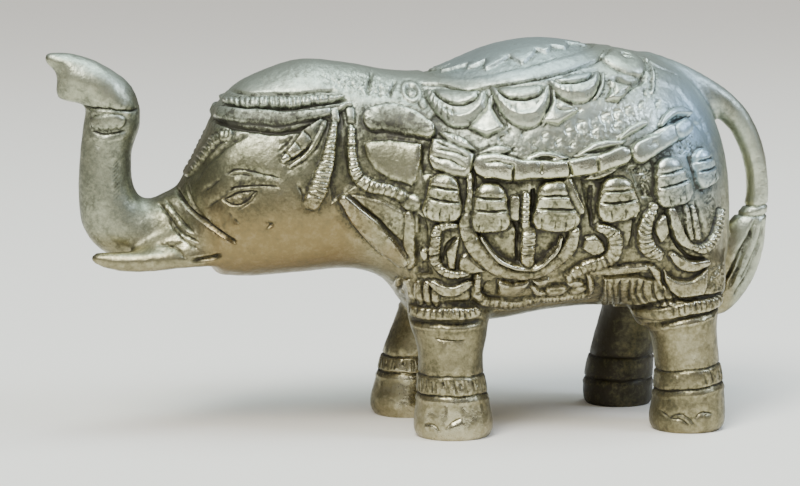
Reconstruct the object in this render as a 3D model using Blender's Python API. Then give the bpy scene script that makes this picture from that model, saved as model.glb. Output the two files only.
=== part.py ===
"""Elephant figurine, cast in brass as one piece, standing on four feet.

The body, legs, trunk, tusks and tail are lofts through rings, fused into one skin.
The harness, saddle cloth, bells and bands are then raised from that skin, and the
feet are cut flat where the casting stands.
"""

import math

import bmesh
import bpy
import numpy as np

# The one driving size: from the tip of the trunk to the tail. The animal is drawn about
# 161.5 units long, and every place and width below is in those units, as a share of it.
LENGTH = 0.1615

BRASS = (0.42, 0.33, 0.17)
BRASS_ROUGHNESS = 0.38

VOXEL = 0.8
EASE_PASSES = 12
RING_SIDES = 48
TRIANGLES = 9600

# Carving: how sharp a motif's edge is, and the ditch that parts it from the ground.
BLUR = 0.5
DITCH = 0.3
DITCH_WIDTH = 0.9
DEEPEST = 0.9

BODY = [
    # x, underside, top, half width, how much narrower the top is
    (-54.0, 41.0, 51.0, 4.0, 0.00),
    (-51.5, 39.3, 56.5, 8.0, 0.05),
    (-49.0, 38.6, 60.8, 11.0, 0.10),
    (-46.5, 37.8, 66.2, 13.8, 0.15),
    (-45.2, 35.7, 69.4, 14.8, 0.18),
    (-44.0, 34.7, 71.9, 15.6, 0.20),
    (-41.5, 34.5, 75.0, 16.4, 0.22),
    (-36.6, 34.3, 78.2, 17.4, 0.22),
    (-26.0, 35.0, 81.7, 18.4, 0.22),
    (-15.4, 35.6, 80.9, 18.6, 0.18),
    (-7.5, 33.0, 79.4, 20.3, 0.12),
    (-2.0, 26.0, 78.9, 23.0, 0.09),
    (1.5, 23.9, 79.0, 24.3, 0.08),
    (6.0, 23.3, 80.1, 25.6, 0.08),
    (16.7, 23.7, 84.4, 27.2, 0.08),
    (27.5, 25.5, 86.1, 27.6, 0.08),
    (38.4, 26.4, 84.8, 27.5, 0.08),
    (49.3, 25.6, 82.9, 26.5, 0.10),
    (54.8, 24.8, 80.8, 25.2, 0.12),
    (60.0, 25.0, 77.4, 22.8, 0.14),
    (63.6, 26.0, 73.6, 19.4, 0.16),
    (66.7, 28.5, 69.0, 15.0, 0.16),
    (69.0, 32.5, 63.0, 10.4, 0.12),
    (70.5, 38.5, 55.5, 5.0, 0.0),
]
SQUARENESS = 2.35

# Limbs: x, y, z of the middle, then the radius across and the radius through.
TRUNK = [
    (-40.0, 0, 47.0, 9.0, 9.5),
    (-50.0, 0, 46.4, 7.8, 8.2),
    (-57.0, 0, 44.6, 7.0, 7.1),
    (-62.6, 0, 44.9, 6.7, 7.1),
    (-66.5, 0, 47.6, 6.4, 7.3),
    (-68.3, 0, 53.6, 6.2, 6.1),
    (-68.3, 0, 60.7, 5.9, 5.65),
    (-67.7, 0, 65.0, 5.9, 5.75),
    (-66.7, 0, 68.9, 6.1, 6.15),
    (-66.9, 0, 72.8, 6.0, 5.6),
    (-69.2, 0, 75.5, 5.6, 5.0),
    (-71.8, 0, 77.0, 5.2, 4.8),
    (-74.3, 0, 77.9, 4.7, 4.4),
]
TRUNK_FINGER = [(-71.5, 0, 79.4, 3.8, 2.8), (-76.4, 0, 80.9, 3.4, 2.7), (-79.9, 0, 82.2, 2.3, 1.6)]
TRUNK_LIP = [(-72.0, 0, 75.4, 3.9, 3.1), (-76.7, 0, 75.2, 3.4, 2.4)]
TUSK = [
    (-42.0, -9.0, 40.0, 2.8, 2.4),
    (-52.0, -9.6, 39.5, 2.9, 2.4),
    (-62.0, -9.3, 38.8, 2.7, 2.4),
    (-68.0, -8.6, 39.0, 2.2, 2.0),
    (-71.2, -8.2, 39.6, 1.5, 1.3),
]
RIGHT_TUSK = 0.87
TUSK_SHEATH = [
    (-44.0, -9.0, 44.0, 4.2, 5.0),
    (-51.0, -7.6, 42.8, 3.6, 3.9),
    (-58.0, -7.0, 41.1, 2.6, 2.6),
    (-61.5, -7.0, 40.3, 1.8, 1.6),
]
TAIL = [
    (52.0, 0, 80.4, 2.8, 2.6),
    (60.0, 0, 77.0, 3.0, 3.0),
    (67.0, 0, 72.8, 2.9, 3.3),
    (71.8, 0, 69.2, 2.8, 3.2),
    (75.1, 0, 64.8, 2.8, 2.9),
    (77.4, 0, 59.0, 2.8, 2.75),
    (78.4, 0, 52.3, 2.8, 2.6),
    (77.9, 0, 46.5, 3.0, 3.0),
    (75.8, 0, 41.6, 3.4, 4.9),
    (73.6, 0, 33.8, 3.4, 5.1),
    (70.0, 0, 26.8, 3.0, 3.9),
    (66.7, 0, 23.8, 2.0, 1.9),
]
LEGS = {
    "front left": [
        (5.3, -15.0, 36.0, 9.5, 9.6),
        (5.0, -15.2, 27.0, 8.5, 9.1),
        (5.3, -15.4, 22.6, 7.9, 8.1),
        (5.3, -15.5, 17.6, 7.4, 7.1),
        (5.4, -15.5, 12.0, 7.7, 7.5),
        (5.7, -15.5, 7.6, 8.1, 8.1),
        (5.9, -15.5, 3.0, 8.6, 8.8),
        (5.9, -15.5, 1.2, 8.5, 8.7),
        (5.9, -15.5, -0.4, 7.3, 7.5),
        (5.9, -15.5, -2.4, 4.5, 4.5),
    ],
    "front right": [
        (6.6, 14.0, 36.0, 8.6, 7.8),
        (6.3, 13.6, 27.0, 7.9, 7.2),
        (4.7, 13.2, 21.0, 7.5, 7.0),
        (1.7, 13.0, 13.3, 7.4, 7.1),
        (0.7, 12.8, 6.4, 8.0, 8.0),
        (0.3, 12.8, 3.0, 8.5, 8.6),
        (0.3, 12.8, 1.2, 8.3, 8.4),
        (0.3, 12.8, -0.4, 7.1, 7.2),
        (0.3, 12.8, -2.4, 4.5, 4.5),
    ],
    "hind left": [
        (56.2, -14.0, 36.0, 9.5, 11.0),
        (56.0, -14.7, 29.0, 8.7, 10.8),
        (57.0, -15.0, 25.6, 8.3, 8.9),
        (57.5, -15.2, 22.6, 7.9, 7.5),
        (58.4, -15.4, 15.0, 7.5, 7.2),
        (58.9, -15.4, 8.5, 8.0, 7.9),
        (58.6, -15.4, 3.0, 8.4, 8.5),
        (58.5, -15.4, 1.2, 8.3, 8.4),
        (58.5, -15.4, -0.4, 7.1, 7.2),
        (58.5, -15.4, -2.4, 4.5, 4.5),
    ],
    "hind right": [
        (55.4, 15.0, 38.0, 9.5, 10.0),
        (55.0, 16.2, 28.0, 8.5, 8.4),
        (54.4, 17.2, 22.0, 7.8, 7.6),
        (51.9, 18.2, 12.5, 7.4, 7.4),
        (51.0, 18.5, 5.0, 8.1, 8.1),
        (51.0, 18.5, 1.3, 8.1, 8.2),
        (51.0, 18.5, -0.4, 7.0, 7.1),
        (51.0, 18.5, -2.4, 4.5, 4.5),
    ],
}


def through(rows, steps):
    """Rows of a smooth curve that runs through the given rows."""
    rows = np.array(rows, float)
    rows = np.vstack([2 * rows[0] - rows[1], rows, 2 * rows[-1] - rows[-2]])
    t = np.linspace(0, 1, steps, endpoint=False)[:, None]
    found = []
    for a, b, c, d in zip(rows, rows[1:], rows[2:], rows[3:]):
        found.append(
            0.5 * (
                2 * b + (c - a) * t + (2 * a - 5 * b + 4 * c - d) * t**2 + (3 * b - a - 3 * c + d) * t**3
            )
        )
    return np.vstack(found + [rows[-2:-1]])


def ease(t):
    """Rises smoothly from 0 to 1."""
    t = np.clip(t, 0.0, 1.0)
    return t * t * (3 - 2 * t)


def loft(rings):
    """A closed skin over rings of points, with flat ends."""
    made = bmesh.new()
    loops = [[made.verts.new(p) for p in ring] for ring in rings]
    for low, high in zip(loops, loops[1:]):
        for i in range(len(low)):
            j = (i + 1) % len(low)
            made.faces.new((low[i], low[j], high[j], high[i]))
    made.faces.new(reversed(loops[0]))
    made.faces.new(loops[-1])
    bmesh.ops.recalc_face_normals(made, faces=made.faces)
    return made


def body():
    """The trunkless body and head: squared ovals along the spine."""
    turn = np.linspace(0, 2 * math.pi, 2 * RING_SIDES, endpoint=False)
    across = np.sign(np.cos(turn)) * np.abs(np.cos(turn)) ** (2 / SQUARENESS)
    upward = np.sign(np.sin(turn)) * np.abs(np.sin(turn)) ** (2 / SQUARENESS)
    rings = []
    for x, low, high, half, taper in through(BODY, 4):
        y = half * across * (1 - taper * upward)
        z = (low + high) / 2 + (high - low) / 2 * upward
        rings.append(np.stack([np.full_like(y, x), y, z], axis=1))
    return loft(rings)


def limb(stations):
    """A round limb through its stations, with domed ends."""
    rows = through(stations, 6)
    middle, radius = rows[:, :3], rows[:, 3:]
    ahead = np.gradient(middle, axis=0)
    ahead /= np.linalg.norm(ahead, axis=1)[:, None]
    turn = np.linspace(0, 2 * math.pi, RING_SIDES, endpoint=False)[:, None]
    rings = []

    def ring(at, offset, share):
        side = np.array([0.0, 1.0, 0.0]) - ahead[at] * ahead[at][1]
        side /= np.linalg.norm(side)
        thick = np.cross(ahead[at], side)
        centre = middle[at] + ahead[at] * offset
        rings.append(
            centre + share * (radius[at][0] * np.cos(turn) * side + radius[at][1] * np.sin(turn) * thick)
        )

    dome = np.radians([80, 60, 40, 20])
    for a in dome:
        ring(0, -radius[0].min() * math.sin(a), math.cos(a))
    for at in range(len(rows)):
        ring(at, 0.0, 1.0)
    for a in dome[::-1]:
        ring(-1, radius[-1].min() * math.sin(a), math.cos(a))
    return loft(rings)


def mirrored(stations, length=1.0):
    """The same limb on the right, its length taken from the root."""
    root = stations[0][0]
    return [(root + (x - root) * length, -y, z, across, thick) for x, y, z, across, thick in stations]


def plain_animal():
    """All the lofts fused into one even skin, and eased where they meet."""
    lofts = [body()] + [limb(s) for s in (TRUNK, TRUNK_FINGER, TRUNK_LIP, TAIL)]
    lofts += [limb(TUSK), limb(mirrored(TUSK, RIGHT_TUSK)), limb(TUSK_SHEATH), limb(mirrored(TUSK_SHEATH))]
    lofts += [limb(stations) for stations in LEGS.values()]
    whole = bmesh.new()
    for made in lofts:
        mesh = bpy.data.meshes.new("loft")
        made.to_mesh(mesh)
        whole.from_mesh(mesh)
        made.free()
        bpy.data.meshes.remove(mesh)
    mesh = bpy.data.meshes.new("elephant")
    whole.to_mesh(mesh)
    whole.free()
    animal = bpy.data.objects.new("elephant", mesh)
    bpy.context.scene.collection.objects.link(animal)
    fuse = animal.modifiers.new("fuse", "REMESH")
    fuse.mode = "VOXEL"
    fuse.voxel_size = VOXEL
    soften = animal.modifiers.new("soften", "SMOOTH")
    soften.factor = 0.5
    soften.iterations = EASE_PASSES
    finer = animal.modifiers.new("finer", "SUBSURF")
    finer.levels = 1
    finer.render_levels = 1
    apply_modifiers(animal)
    return animal


def apply_modifiers(made):
    graph = bpy.context.evaluated_depsgraph_get()
    mesh = bpy.data.meshes.new_from_object(made.evaluated_get(graph))
    made.modifiers.clear()
    made.data = mesh


class Skin:
    """A stretch of the surface laid flat, u along it and v up it, and the carving's height there."""

    def __init__(self, u, v, share):
        self.spot = np.flatnonzero(share > 0)
        self.u = u[self.spot]
        self.v = v[self.spot]
        self.share = share[self.spot]
        self.height = np.zeros(len(self.spot))

    def measure(self, route, reach):
        """For the points near a route: how far off it they are, and how far along it."""
        low = route.min(axis=0) - reach
        high = route.max(axis=0) + reach
        here = np.flatnonzero(
            (self.u > low[0]) & (self.u < high[0]) & (self.v > low[1]) & (self.v < high[1])
        )
        u, v = self.u[here], self.v[here]
        away = np.full(len(here), 1e3)
        along = np.zeros(len(here))
        covered = 0.0
        for a, b in zip(route, route[1:]):
            step = b - a
            length = math.hypot(*step)
            if length == 0:
                continue
            t = np.clip(((u - a[0]) * step[0] + (v - a[1]) * step[1]) / length**2, 0, 1)
            off = np.hypot(u - a[0] - t * step[0], v - a[1] - t * step[1])
            closer = off < away
            away[closer] = off[closer]
            along[closer] = covered + t[closer] * length
            covered += length
        return here, away, along / max(covered, 1e-9)

    def within(self, here, outline):
        """Which of the points lie inside a closed outline."""
        u, v = self.u[here], self.v[here]
        inside = np.zeros(len(here), bool)
        for a, b in zip(outline, outline[1:]):
            if a[1] != b[1]:
                crossing = (a[1] > v) != (b[1] > v)
                inside ^= crossing & (u < (b[0] - a[0]) * (v - a[1]) / (b[1] - a[1]) + a[0])
        return inside

    def lay(self, here, edge, top):
        """Set a motif on the ground; edge is how far in from its outline a point lies."""
        ground = self.height[here] - DITCH * ease(1 + edge / DITCH_WIDTH)
        ground = np.maximum(ground, -DEEPEST)
        self.height[here] = ground + (top - ground) * ease(edge / BLUR + 0.5)

    def cord(self, points, half, rise):
        """A rounded cord; half may list the half widths from its start to its end."""
        half = np.atleast_1d(half)
        here, away, along = self.measure(through(points, 6), half.max() + DITCH_WIDTH)
        width = np.interp(along, np.linspace(0, 1, len(half)), half)
        self.lay(here, width - away, rise * np.sqrt(np.clip(1 - (away / width) ** 2, 0, 1)))

    def groove(self, points, half, depth):
        here, away, along = self.measure(through(points, 6), half)
        self.height[here] -= depth * ease(1 - away / half)

    def pad(self, outline, rise, rounding=1.2):
        """A raised pad inside a closed outline, with a rounded shoulder."""
        outline = np.array(outline + outline[:1], float)
        here, away, along = self.measure(outline, DITCH_WIDTH)
        edge = np.where(self.within(here, outline), away, -away)
        self.lay(here, edge, rise * np.sqrt(1 - (1 - np.clip(edge / rounding, 0, 1)) ** 2))

    def sink(self, outline, depth):
        """Ground let down inside a closed outline."""
        outline = np.array(outline + outline[:1], float)
        here, away, along = self.measure(outline, 0.0)
        edge = np.where(self.within(here, outline), away, 0.0)
        self.height[here] -= depth * ease(edge / 0.9)


def bow(centre, half, depth, start=180, end=360, tilt=0.0, square=2.0):
    """Points of an arc of an ellipse from one angle to another; square above 2 makes a barrel of it."""
    steps = max(6, int(abs(end - start) / 15))
    lean = math.radians(tilt)
    points = []
    for k in range(steps + 1):
        a = math.radians(start + (end - start) * k / steps)
        u = half * math.copysign(abs(math.cos(a)) ** (2 / square), math.cos(a))
        v = depth * math.copysign(abs(math.sin(a)) ** (2 / square), math.sin(a))
        points.append(
            (
                centre[0] + u * math.cos(lean) - v * math.sin(lean),
                centre[1] + u * math.sin(lean) + v * math.cos(lean),
            )
        )
    return points


def leaf(tip, root, half):
    """Outline of a pointed leaf between two points."""
    tip, root = np.array(tip, float), np.array(root, float)
    run = root - tip
    side = np.array([-run[1], run[0]]) / math.hypot(*run)
    shares = np.linspace(0, 1, 9)
    up = [tuple(tip + run * t + side * half * math.sin(math.pi * t)) for t in shares]
    down = [tuple(tip + run * t - side * half * math.sin(math.pi * t)) for t in shares[-2:0:-1]]
    return up + down


def headgear(flank):
    """Rope and rolled brim round the crown, and the braid down the brow."""
    flank.groove([(-42.4, 75.2), (-35.3, 74.7), (-30.1, 74.8), (-25.2, 75.1), (-19.4, 75.5)], 0.7, 0.4)
    flank.cord([(-42.4, 73.0), (-34.4, 73.0), (-26.6, 73.2), (-18.6, 74.0)], (0.6, 1.2, 1.1, 0.5), 0.8)
    flank.cord(
        [(-46.0, 70.2), (-40.0, 70.3), (-35.0, 69.8), (-29.0, 69.8), (-22.0, 70.9), (-16.8, 72.3)],
        (1.1, 1.5, 1.4, 0.9, 0.5), 1.1,
    )
    flank.groove(
        [(-46.0, 69.2), (-42.0, 68.1), (-37.3, 67.3), (-32.0, 66.9), (-27.6, 67.3), (-22.0, 69.2)], 1.0,
        0.9,
    )
    flank.cord([(-42.8, 66.2), (-45.7, 64.6), (-48.3, 60.8), (-50.6, 57.0)], 0.9, 0.7)
    flank.groove([(-39.3, 66.2), (-42.7, 64.4), (-45.3, 62.2), (-47.6, 59.6), (-49.3, 57.0)], 0.8, 0.4)


def face(flank):
    """Brow, eye, the cut where the trunk starts, and the mouth."""
    flank.groove(
        [(-53.0, 53.8), (-51.6, 51.2), (-49.6, 48.8), (-47.0, 46.8), (-44.0, 44.9), (-41.6, 43.2)], 1.1,
        0.9,
    )
    flank.groove([(-57.2, 50.8), (-55.4, 48.6), (-53.4, 46.2), (-50.2, 43.6)], 0.7, 0.4)
    flank.groove([(-51.0, 39.4), (-47.4, 39.6), (-44.2, 40.2)], 0.9, 0.6)
    flank.groove([(-43.0, 57.8), (-40.2, 59.0), (-38.0, 58.6), (-33.0, 57.3)], 0.6, 0.4)
    flank.pad(leaf((-43.8, 52.7), (-37.6, 54.0), 1.3), 0.5, 1.0)
    flank.groove([(-42.9, 54.6), (-40.8, 55.6), (-36.6, 55.7), (-32.6, 55.5)], 0.6, 0.4)


def ear(flank):
    """The ear's gap and the three strands that fan out over it."""
    flank.sink(
        [
            (-20.0, 71.8), (-17.6, 71.8), (-17.4, 62.0), (-15.8, 55.2), (-18.2, 53.6), (-21.6, 51.4),
            (-21.6, 56.0), (-19.8, 66.0),
        ],
        0.8,
    )
    flank.cord([(-23.4, 68.2), (-26.9, 65.2), (-31.2, 61.2)], (1.0, 1.2, 0.7), 0.8)
    flank.cord([(-22.3, 68.9), (-24.2, 65.1), (-26.9, 61.9), (-30.0, 59.6)], (0.7, 0.5), 0.5)
    flank.cord(
        [(-20.4, 68.4), (-21.0, 64.8), (-21.9, 61.4), (-22.8, 58.3), (-24.4, 54.2)], (0.8, 1.5, 1.9, 1.9),
        1.2,
    )
    flank.pad(bow((-25.8, 51.0), 2.7, 1.4, 0, 360, -18), 0.5)


def harness(flank):
    """The straps behind the ear, with the roll and the panel above them."""
    flank.sink([(-3.4, 50.4), (-1.2, 48.4), (-0.8, 40.0), (0.2, 36.4), (-3.6, 35.8), (-3.9, 40.0)], 0.9)
    flank.sink([(-2.0, 64.2), (0.4, 64.8), (0.6, 58.4), (-2.4, 57.6)], 0.5)
    flank.sink(
        [(-22.0, 49.6), (-18.0, 50.4), (-7.0, 39.6), (-6.2, 36.6), (-12.0, 40.6), (-17.6, 44.4)], 0.5,
    )
    flank.pad([(-17.2, 53.5), (-11.0, 52.6), (-5.5, 49.9), (-5.1, 42.6)], 0.5)
    flank.cord([(-4.9, 49.4), (-4.8, 45.3), (-4.4, 38.2)], 1.1, 0.7)
    flank.cord(
        [(-18.8, 52.4), (-15.4, 48.8), (-11.2, 44.6), (-7.2, 40.7), (-5.8, 39.4)], (1.2, 2.3, 2.3, 1.6),
        1.4,
    )
    flank.pad(bow((-4.4, 52.0), 2.3, 1.9, 0, 360, -25), 0.7)
    flank.pad(
        [
            (-14.0, 64.7), (-8.0, 65.3), (-1.9, 64.4), (-2.6, 60.0), (-4.0, 55.6), (-8.8, 56.6),
            (-12.0, 59.0), (-13.6, 61.5),
        ],
        0.8,
    )
    flank.cord([(-11.3, 69.4), (-8.0, 69.5), (-4.5, 68.8), (-0.6, 67.2)], (2.5, 2.8, 1.8), 1.8)
    flank.cord(
        [(-16.7, 67.6), (-16.5, 60.5), (-16.0, 58.2), (-14.5, 56.3), (-11.9, 55.2), (-6.6, 53.5)],
        (1.0, 1.4, 1.4), 1.1,
    )


# Scallops under the saddle's edge: middle of the top, tongue half width and depth, then
# the half width and depth of the crescent round it, and its tilt in degrees.
SCALLOPS = [
    ((6.4, 75.4), 4.7, 3.3, 6.3, 7.6, 0),
    ((19.6, 76.4), 4.8, 3.2, 6.2, 8.6, 3),
    ((31.4, 78.6), 4.4, 2.0, 5.9, 5.6, 9),
]


def saddle_cloth(flank):
    """Scallops hung from the saddle's edge, with tiles between them."""
    for tip, left, bottom, right in (
        ((12.9, 73.8), (8.5, 67.8), (11.6, 66.6), (14.9, 68.0)),
        ((26.2, 74.6), (23.2, 69.2), (27.0, 68.4), (31.7, 71.6)),
        ((39.2, 77.4), (38.2, 73.4), (40.8, 73.2), (44.4, 76.2)),
    ):
        flank.pad([tip, right, bottom, left], 0.8, 1.5)
    flank.cord(bow((-2.9, 75.2), 1.7, 1.7, 0, 360), 0.6, 0.5)
    for middle, tongue, drop, half, depth, tilt in SCALLOPS:
        flank.pad(bow(middle, half, depth, 180, 360, tilt), 1.2, 2.4)
        flank.groove(bow(middle, tongue, drop, 180, 360, tilt), 0.7, 0.9)
    flank.groove([(40.6, 77.8), (43.5, 77.0), (46.2, 77.1), (48.6, 78.6)], 0.9, 0.8)


def garland(flank):
    """The bow and the swag of fat beads along the flank, with leaves over it."""
    for k in range(4):
        flank.cord(
            [
                (0.9 - 0.4 * k, 65.9 - 1.8 * k), (4.6 - 0.3 * k, 65.0 - 1.9 * k),
                (8.3 - 0.3 * k, 63.6 - 1.85 * k),
            ],
            0.85, 0.9,
        )
    for tip, root, half in (((18.2, 61.2), (28.8, 61.7), 1.5), ((30.0, 61.6), (41.8, 64.9), 1.7)):
        flank.pad(leaf(tip, root, half), 0.8, 1.0)
    flank.cord([(50.2, 68.2), (52.2, 69.9), (54.8, 70.7), (57.6, 70.2)], 0.8, 0.7)
    flank.cord(
        [(11.3, 59.9), (14.0, 59.7), (18.0, 59.1), (28.5, 59.2), (34.5, 60.1), (40.0, 61.6)],
        (2.7, 2.2, 1.9, 1.9, 2.1), 1.8,
    )
    flank.sink([(28.0, 61.3), (28.9, 60.5), (29.8, 57.6), (28.3, 57.4)], 1.4)
    flank.sink([(8.0, 61.6), (9.1, 60.6), (9.0, 55.0), (8.1, 53.2)], 1.0)
    flank.cord([(44.7, 62.4), (48.0, 64.1), (51.2, 65.6)], (2.3, 2.35, 2.1), 1.8)
    flank.cord([(54.2, 66.5), (55.9, 67.3)], 1.75, 1.6)


# Bells on the garland: middle of the mouth, half width, height, lean in degrees.
BELLS = [
    ((1.7, 48.1), 4.1, 10.2, -5),
    ((11.9, 45.8), 4.3, 10.6, 0),
    ((26.0, 45.9), 5.3, 11.0, 0),
    ((39.9, 47.8), 4.8, 9.6, 5),
    ((52.9, 50.7), 4.3, 10.8, 12),
    ((61.2, 54.4), 3.0, 8.4, 14),
]


def bell(flank, mouth, half, height, lean):
    """A bell: a dome that widens to the mouth, with two lines round it."""
    turn = math.radians(lean)

    def at(u, v):
        u, v = u * half, v * height
        return (
            mouth[0] + u * math.cos(turn) - v * math.sin(turn),
            mouth[1] + u * math.sin(turn) + v * math.cos(turn),
        )

    side = [
        (0.0, 1.0), (0.4, 0.98), (0.68, 0.88), (0.82, 0.7), (0.88, 0.5), (1.0, 0.34), (0.98, 0.17),
        (0.8, 0.04), (0.4, -0.01),
    ]
    flank.pad([at(u, v) for u, v in side] + [at(-u, v) for u, v in side[:0:-1]], 1.6, 2.2)
    for v in (0.69, 0.44):
        flank.groove([at(-0.8, v + 0.02), at(0.0, v), at(0.8, v + 0.01)], 0.7, 0.5)


def flank_bells(flank):
    for mouth, half, height, lean in BELLS:
        bell(flank, mouth, half, height, lean)
    flank.sink([(31.4, 57.0), (36.6, 56.6), (34.3, 46.4), (33.3, 46.4)], 1.0)


def medallion(flank):
    """The ring with its spoke under the middle bells."""
    flank.sink(bow((18.4, 46.6), 9.6, 9.2, 180, 360), 0.5)
    ring = [
        (7.6, 58.0), (7.9, 54.0), (7.2, 50.4), (7.0, 47.4), (7.7, 44.6), (9.4, 41.6), (11.8, 39.2),
        (15.0, 37.2), (19.0, 36.5),
    ]
    ring += [(23.4, 37.2), (26.8, 39.4), (29.2, 42.4), (30.2, 45.6)]
    flank.cord(ring, (0.8, 0.9, 1.2, 1.7, 1.9, 1.8, 1.5, 1.25, 1.15, 1.25, 1.5, 1.6, 1.3), 1.1)
    flank.cord([(19.4, 53.6), (19.6, 48.0), (20.2, 43.0), (20.2, 39.4)], (0.9, 1.0, 1.5, 1.5), 0.9)


def scrolls(flank):
    """Leaves and a rope along the belly's hem."""
    flank.cord([(9.7, 35.8), (9.6, 32.6), (11.8, 30.2), (15.4, 29.3), (19.8, 29.0), (24.2, 29.9)], 1.0, 0.8)
    flank.pad([(14.2, 35.0), (17.5, 34.4), (21.2, 35.0), (20.4, 32.6), (17.4, 31.1), (14.2, 31.6)], 0.8)
    flank.pad(bow((27.6, 32.2), 2.3, 1.3, 0, 360, 8), 0.8)
    flank.cord([(25.0, 30.0), (30.0, 29.9), (35.6, 30.6)], 0.7, 0.7)


def curls(flank):
    """Curled leaves either side of the medallion, and the straps on the haunch."""
    flank.cord(
        [
            (4.6, 47.2), (2.4, 47.2), (0.7, 46.2), (0.4, 41.4), (0.8, 39.0), (2.4, 37.2), (5.2, 36.6),
            (8.0, 37.2),
        ],
        1.1, 1.0,
    )
    flank.pad([(2.8, 41.6), (4.0, 43.8), (5.4, 44.6), (5.0, 41.8), (4.8, 37.8), (3.4, 37.8)], 0.8)
    flank.pad([(5.4, 37.6), (5.8, 40.8), (7.0, 41.4), (9.4, 39.0), (11.6, 37.2), (8.4, 36.6)], 0.8)
    flank.cord([(0.2, 34.6), (2.4, 33.2), (4.8, 33.0), (7.6, 34.4)], 1.1, 0.9)
    flank.cord(
        [
            (35.4, 46.6), (37.2, 46.0), (38.9, 44.4), (39.4, 42.3), (38.7, 40.0), (36.5, 38.5),
            (33.9, 38.1), (29.8, 35.6),
        ],
        (0.9, 1.7, 1.6, 1.3, 1.0), 1.1,
    )
    flank.pad([(32.7, 44.4), (34.9, 44.9), (36.6, 43.4), (37.2, 41.4), (34.3, 40.3), (31.9, 42.0)], 0.8)
    flank.sink([(43.0, 49.4), (44.6, 50.0), (43.6, 45.0), (43.4, 41.0), (42.0, 42.0)], 0.7)
    flank.cord(
        [(47.6, 50.6), (46.2, 48.0), (45.6, 45.6), (45.9, 43.2), (47.1, 41.2), (49.4, 40.1)],
        (1.0, 1.7, 1.8, 1.2), 1.2,
    )
    flank.pad(leaf((50.0, 49.2), (49.4, 42.6), 1.3), 0.8)
    flank.cord([(51.4, 49.6), (52.6, 46.4), (54.2, 43.4), (56.4, 41.6)], (0.9, 1.4, 0.9), 1.1)
    flank.cord([(57.2, 41.4), (59.4, 40.9), (61.8, 41.8), (63.8, 44.6), (65.2, 48.4)], 1.1, 1.0)
    flank.cord([(52.2, 40.0), (54.4, 38.0), (57.0, 37.2), (60.2, 37.6)], 1.1, 0.9)
    flank.pad(
        [(51.0, 35.8), (56.0, 34.6), (60.4, 35.8), (61.0, 30.6), (57.0, 29.8), (53.0, 31.0)], 1.0, 1.8,
    )
    flank.pad([(45.6, 38.0), (47.4, 36.4), (49.0, 33.8), (51.2, 31.2), (50.4, 35.0), (49.6, 38.6)], 0.8)


def fringe(flank):
    """Rows of upright flutes at the cloth's hem."""
    for u in (-5.4, -3.7, -2.0, -0.3):
        flank.cord([(u, 34.6), (u, 32.4), (u, 30.2)], 0.75, 0.6)
    flank.pad([(37.8, 35.0), (51.0, 34.8), (53.6, 28.6), (46.0, 27.4), (39.4, 27.6)], 0.6)
    for u in (40.2, 42.0, 44.4, 46.4, 48.8, 51.0):
        flank.groove([(u - 0.9, 34.6), (u, 31.3), (u + 1.6, 28.0)], 0.5, 0.4)
    flank.cord([(35.0, 36.6), (39.6, 36.9), (44.0, 37.0), (46.8, 37.4)], 0.8, 0.7)


def leg_bands(flank):
    """Garters at the top of the legs, shin plate and toenails."""
    flank.groove([(-6.0, 30.2), (2.5, 29.9), (11.0, 30.2)], 1.1, 0.7)
    flank.cord([(-5.4, 28.0), (2.5, 27.8), (9.6, 28.0)], 1.25, 0.8)
    flank.groove([(-6.0, 25.9), (2.5, 25.7), (11.6, 25.9)], 0.8, 0.6)
    flank.groove([(46.0, 27.9), (52.5, 29.8), (58.5, 30.2), (66.0, 30.6)], 0.8, 0.6)
    flank.cord([(46.4, 25.8), (50.0, 26.5), (53.6, 27.2), (57.6, 27.9), (65.0, 28.8)], 1.4, 0.8)
    flank.groove([(47.6, 23.4), (53.0, 24.8), (57.0, 25.8), (65.0, 27.2)], 0.8, 0.5)
    flank.pad([(1.9, 20.8), (5.7, 20.8), (5.5, 14.8), (1.8, 14.8)], 0.3)
    for nail in (
        [(2.9, 2.9), (4.0, 4.3), (6.2, 5.2)], [(52.9, 3.1), (54.0, 4.2), (55.6, 4.4), (58.2, 2.2)],
        [(58.3, 3.7), (59.9, 4.9), (62.4, 4.2)],
    ):
        flank.groove(nail, 0.5, 0.35)


# Bottom and top of the band round each leg.
ANKLETS = {
    "front left": (9.9, 13.8), "front right": (9.3, 13.4), "hind left": (10.1, 14.4),
    "hind right": (9.6, 13.8),
}


def anklets(points):
    """Each leg's own skin: u goes round the leg, v is its height."""
    rings = []
    for name, stations in LEGS.items():
        rows = through(stations, 6)[::-1]
        middle_x = np.interp(points[:, 2], rows[:, 2], rows[:, 0])
        middle_y = np.interp(points[:, 2], rows[:, 2], rows[:, 1])
        radius = np.interp(points[:, 2], rows[:, 2], rows[:, 3])
        off_x, off_y = points[:, 0] - middle_x, points[:, 1] - middle_y
        close = (points[:, 2] < 20.0) & (np.hypot(off_x, off_y) < radius + 3.0)
        skin = Skin(np.arctan2(off_y, off_x) * radius, points[:, 2], close.astype(float))
        low, high = ANKLETS[name]
        middle = (low + high) / 2
        skin.cord([(-40.0, middle), (0.0, middle), (40.0, middle)], (high - low) / 2 - 0.1, 0.3)
        for v in (low - 0.2, high + 0.2):
            skin.groove([(-40.0, v), (0.0, v), (40.0, v)], 0.7, 0.35)
        rings.append(skin)
    return rings


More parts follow.
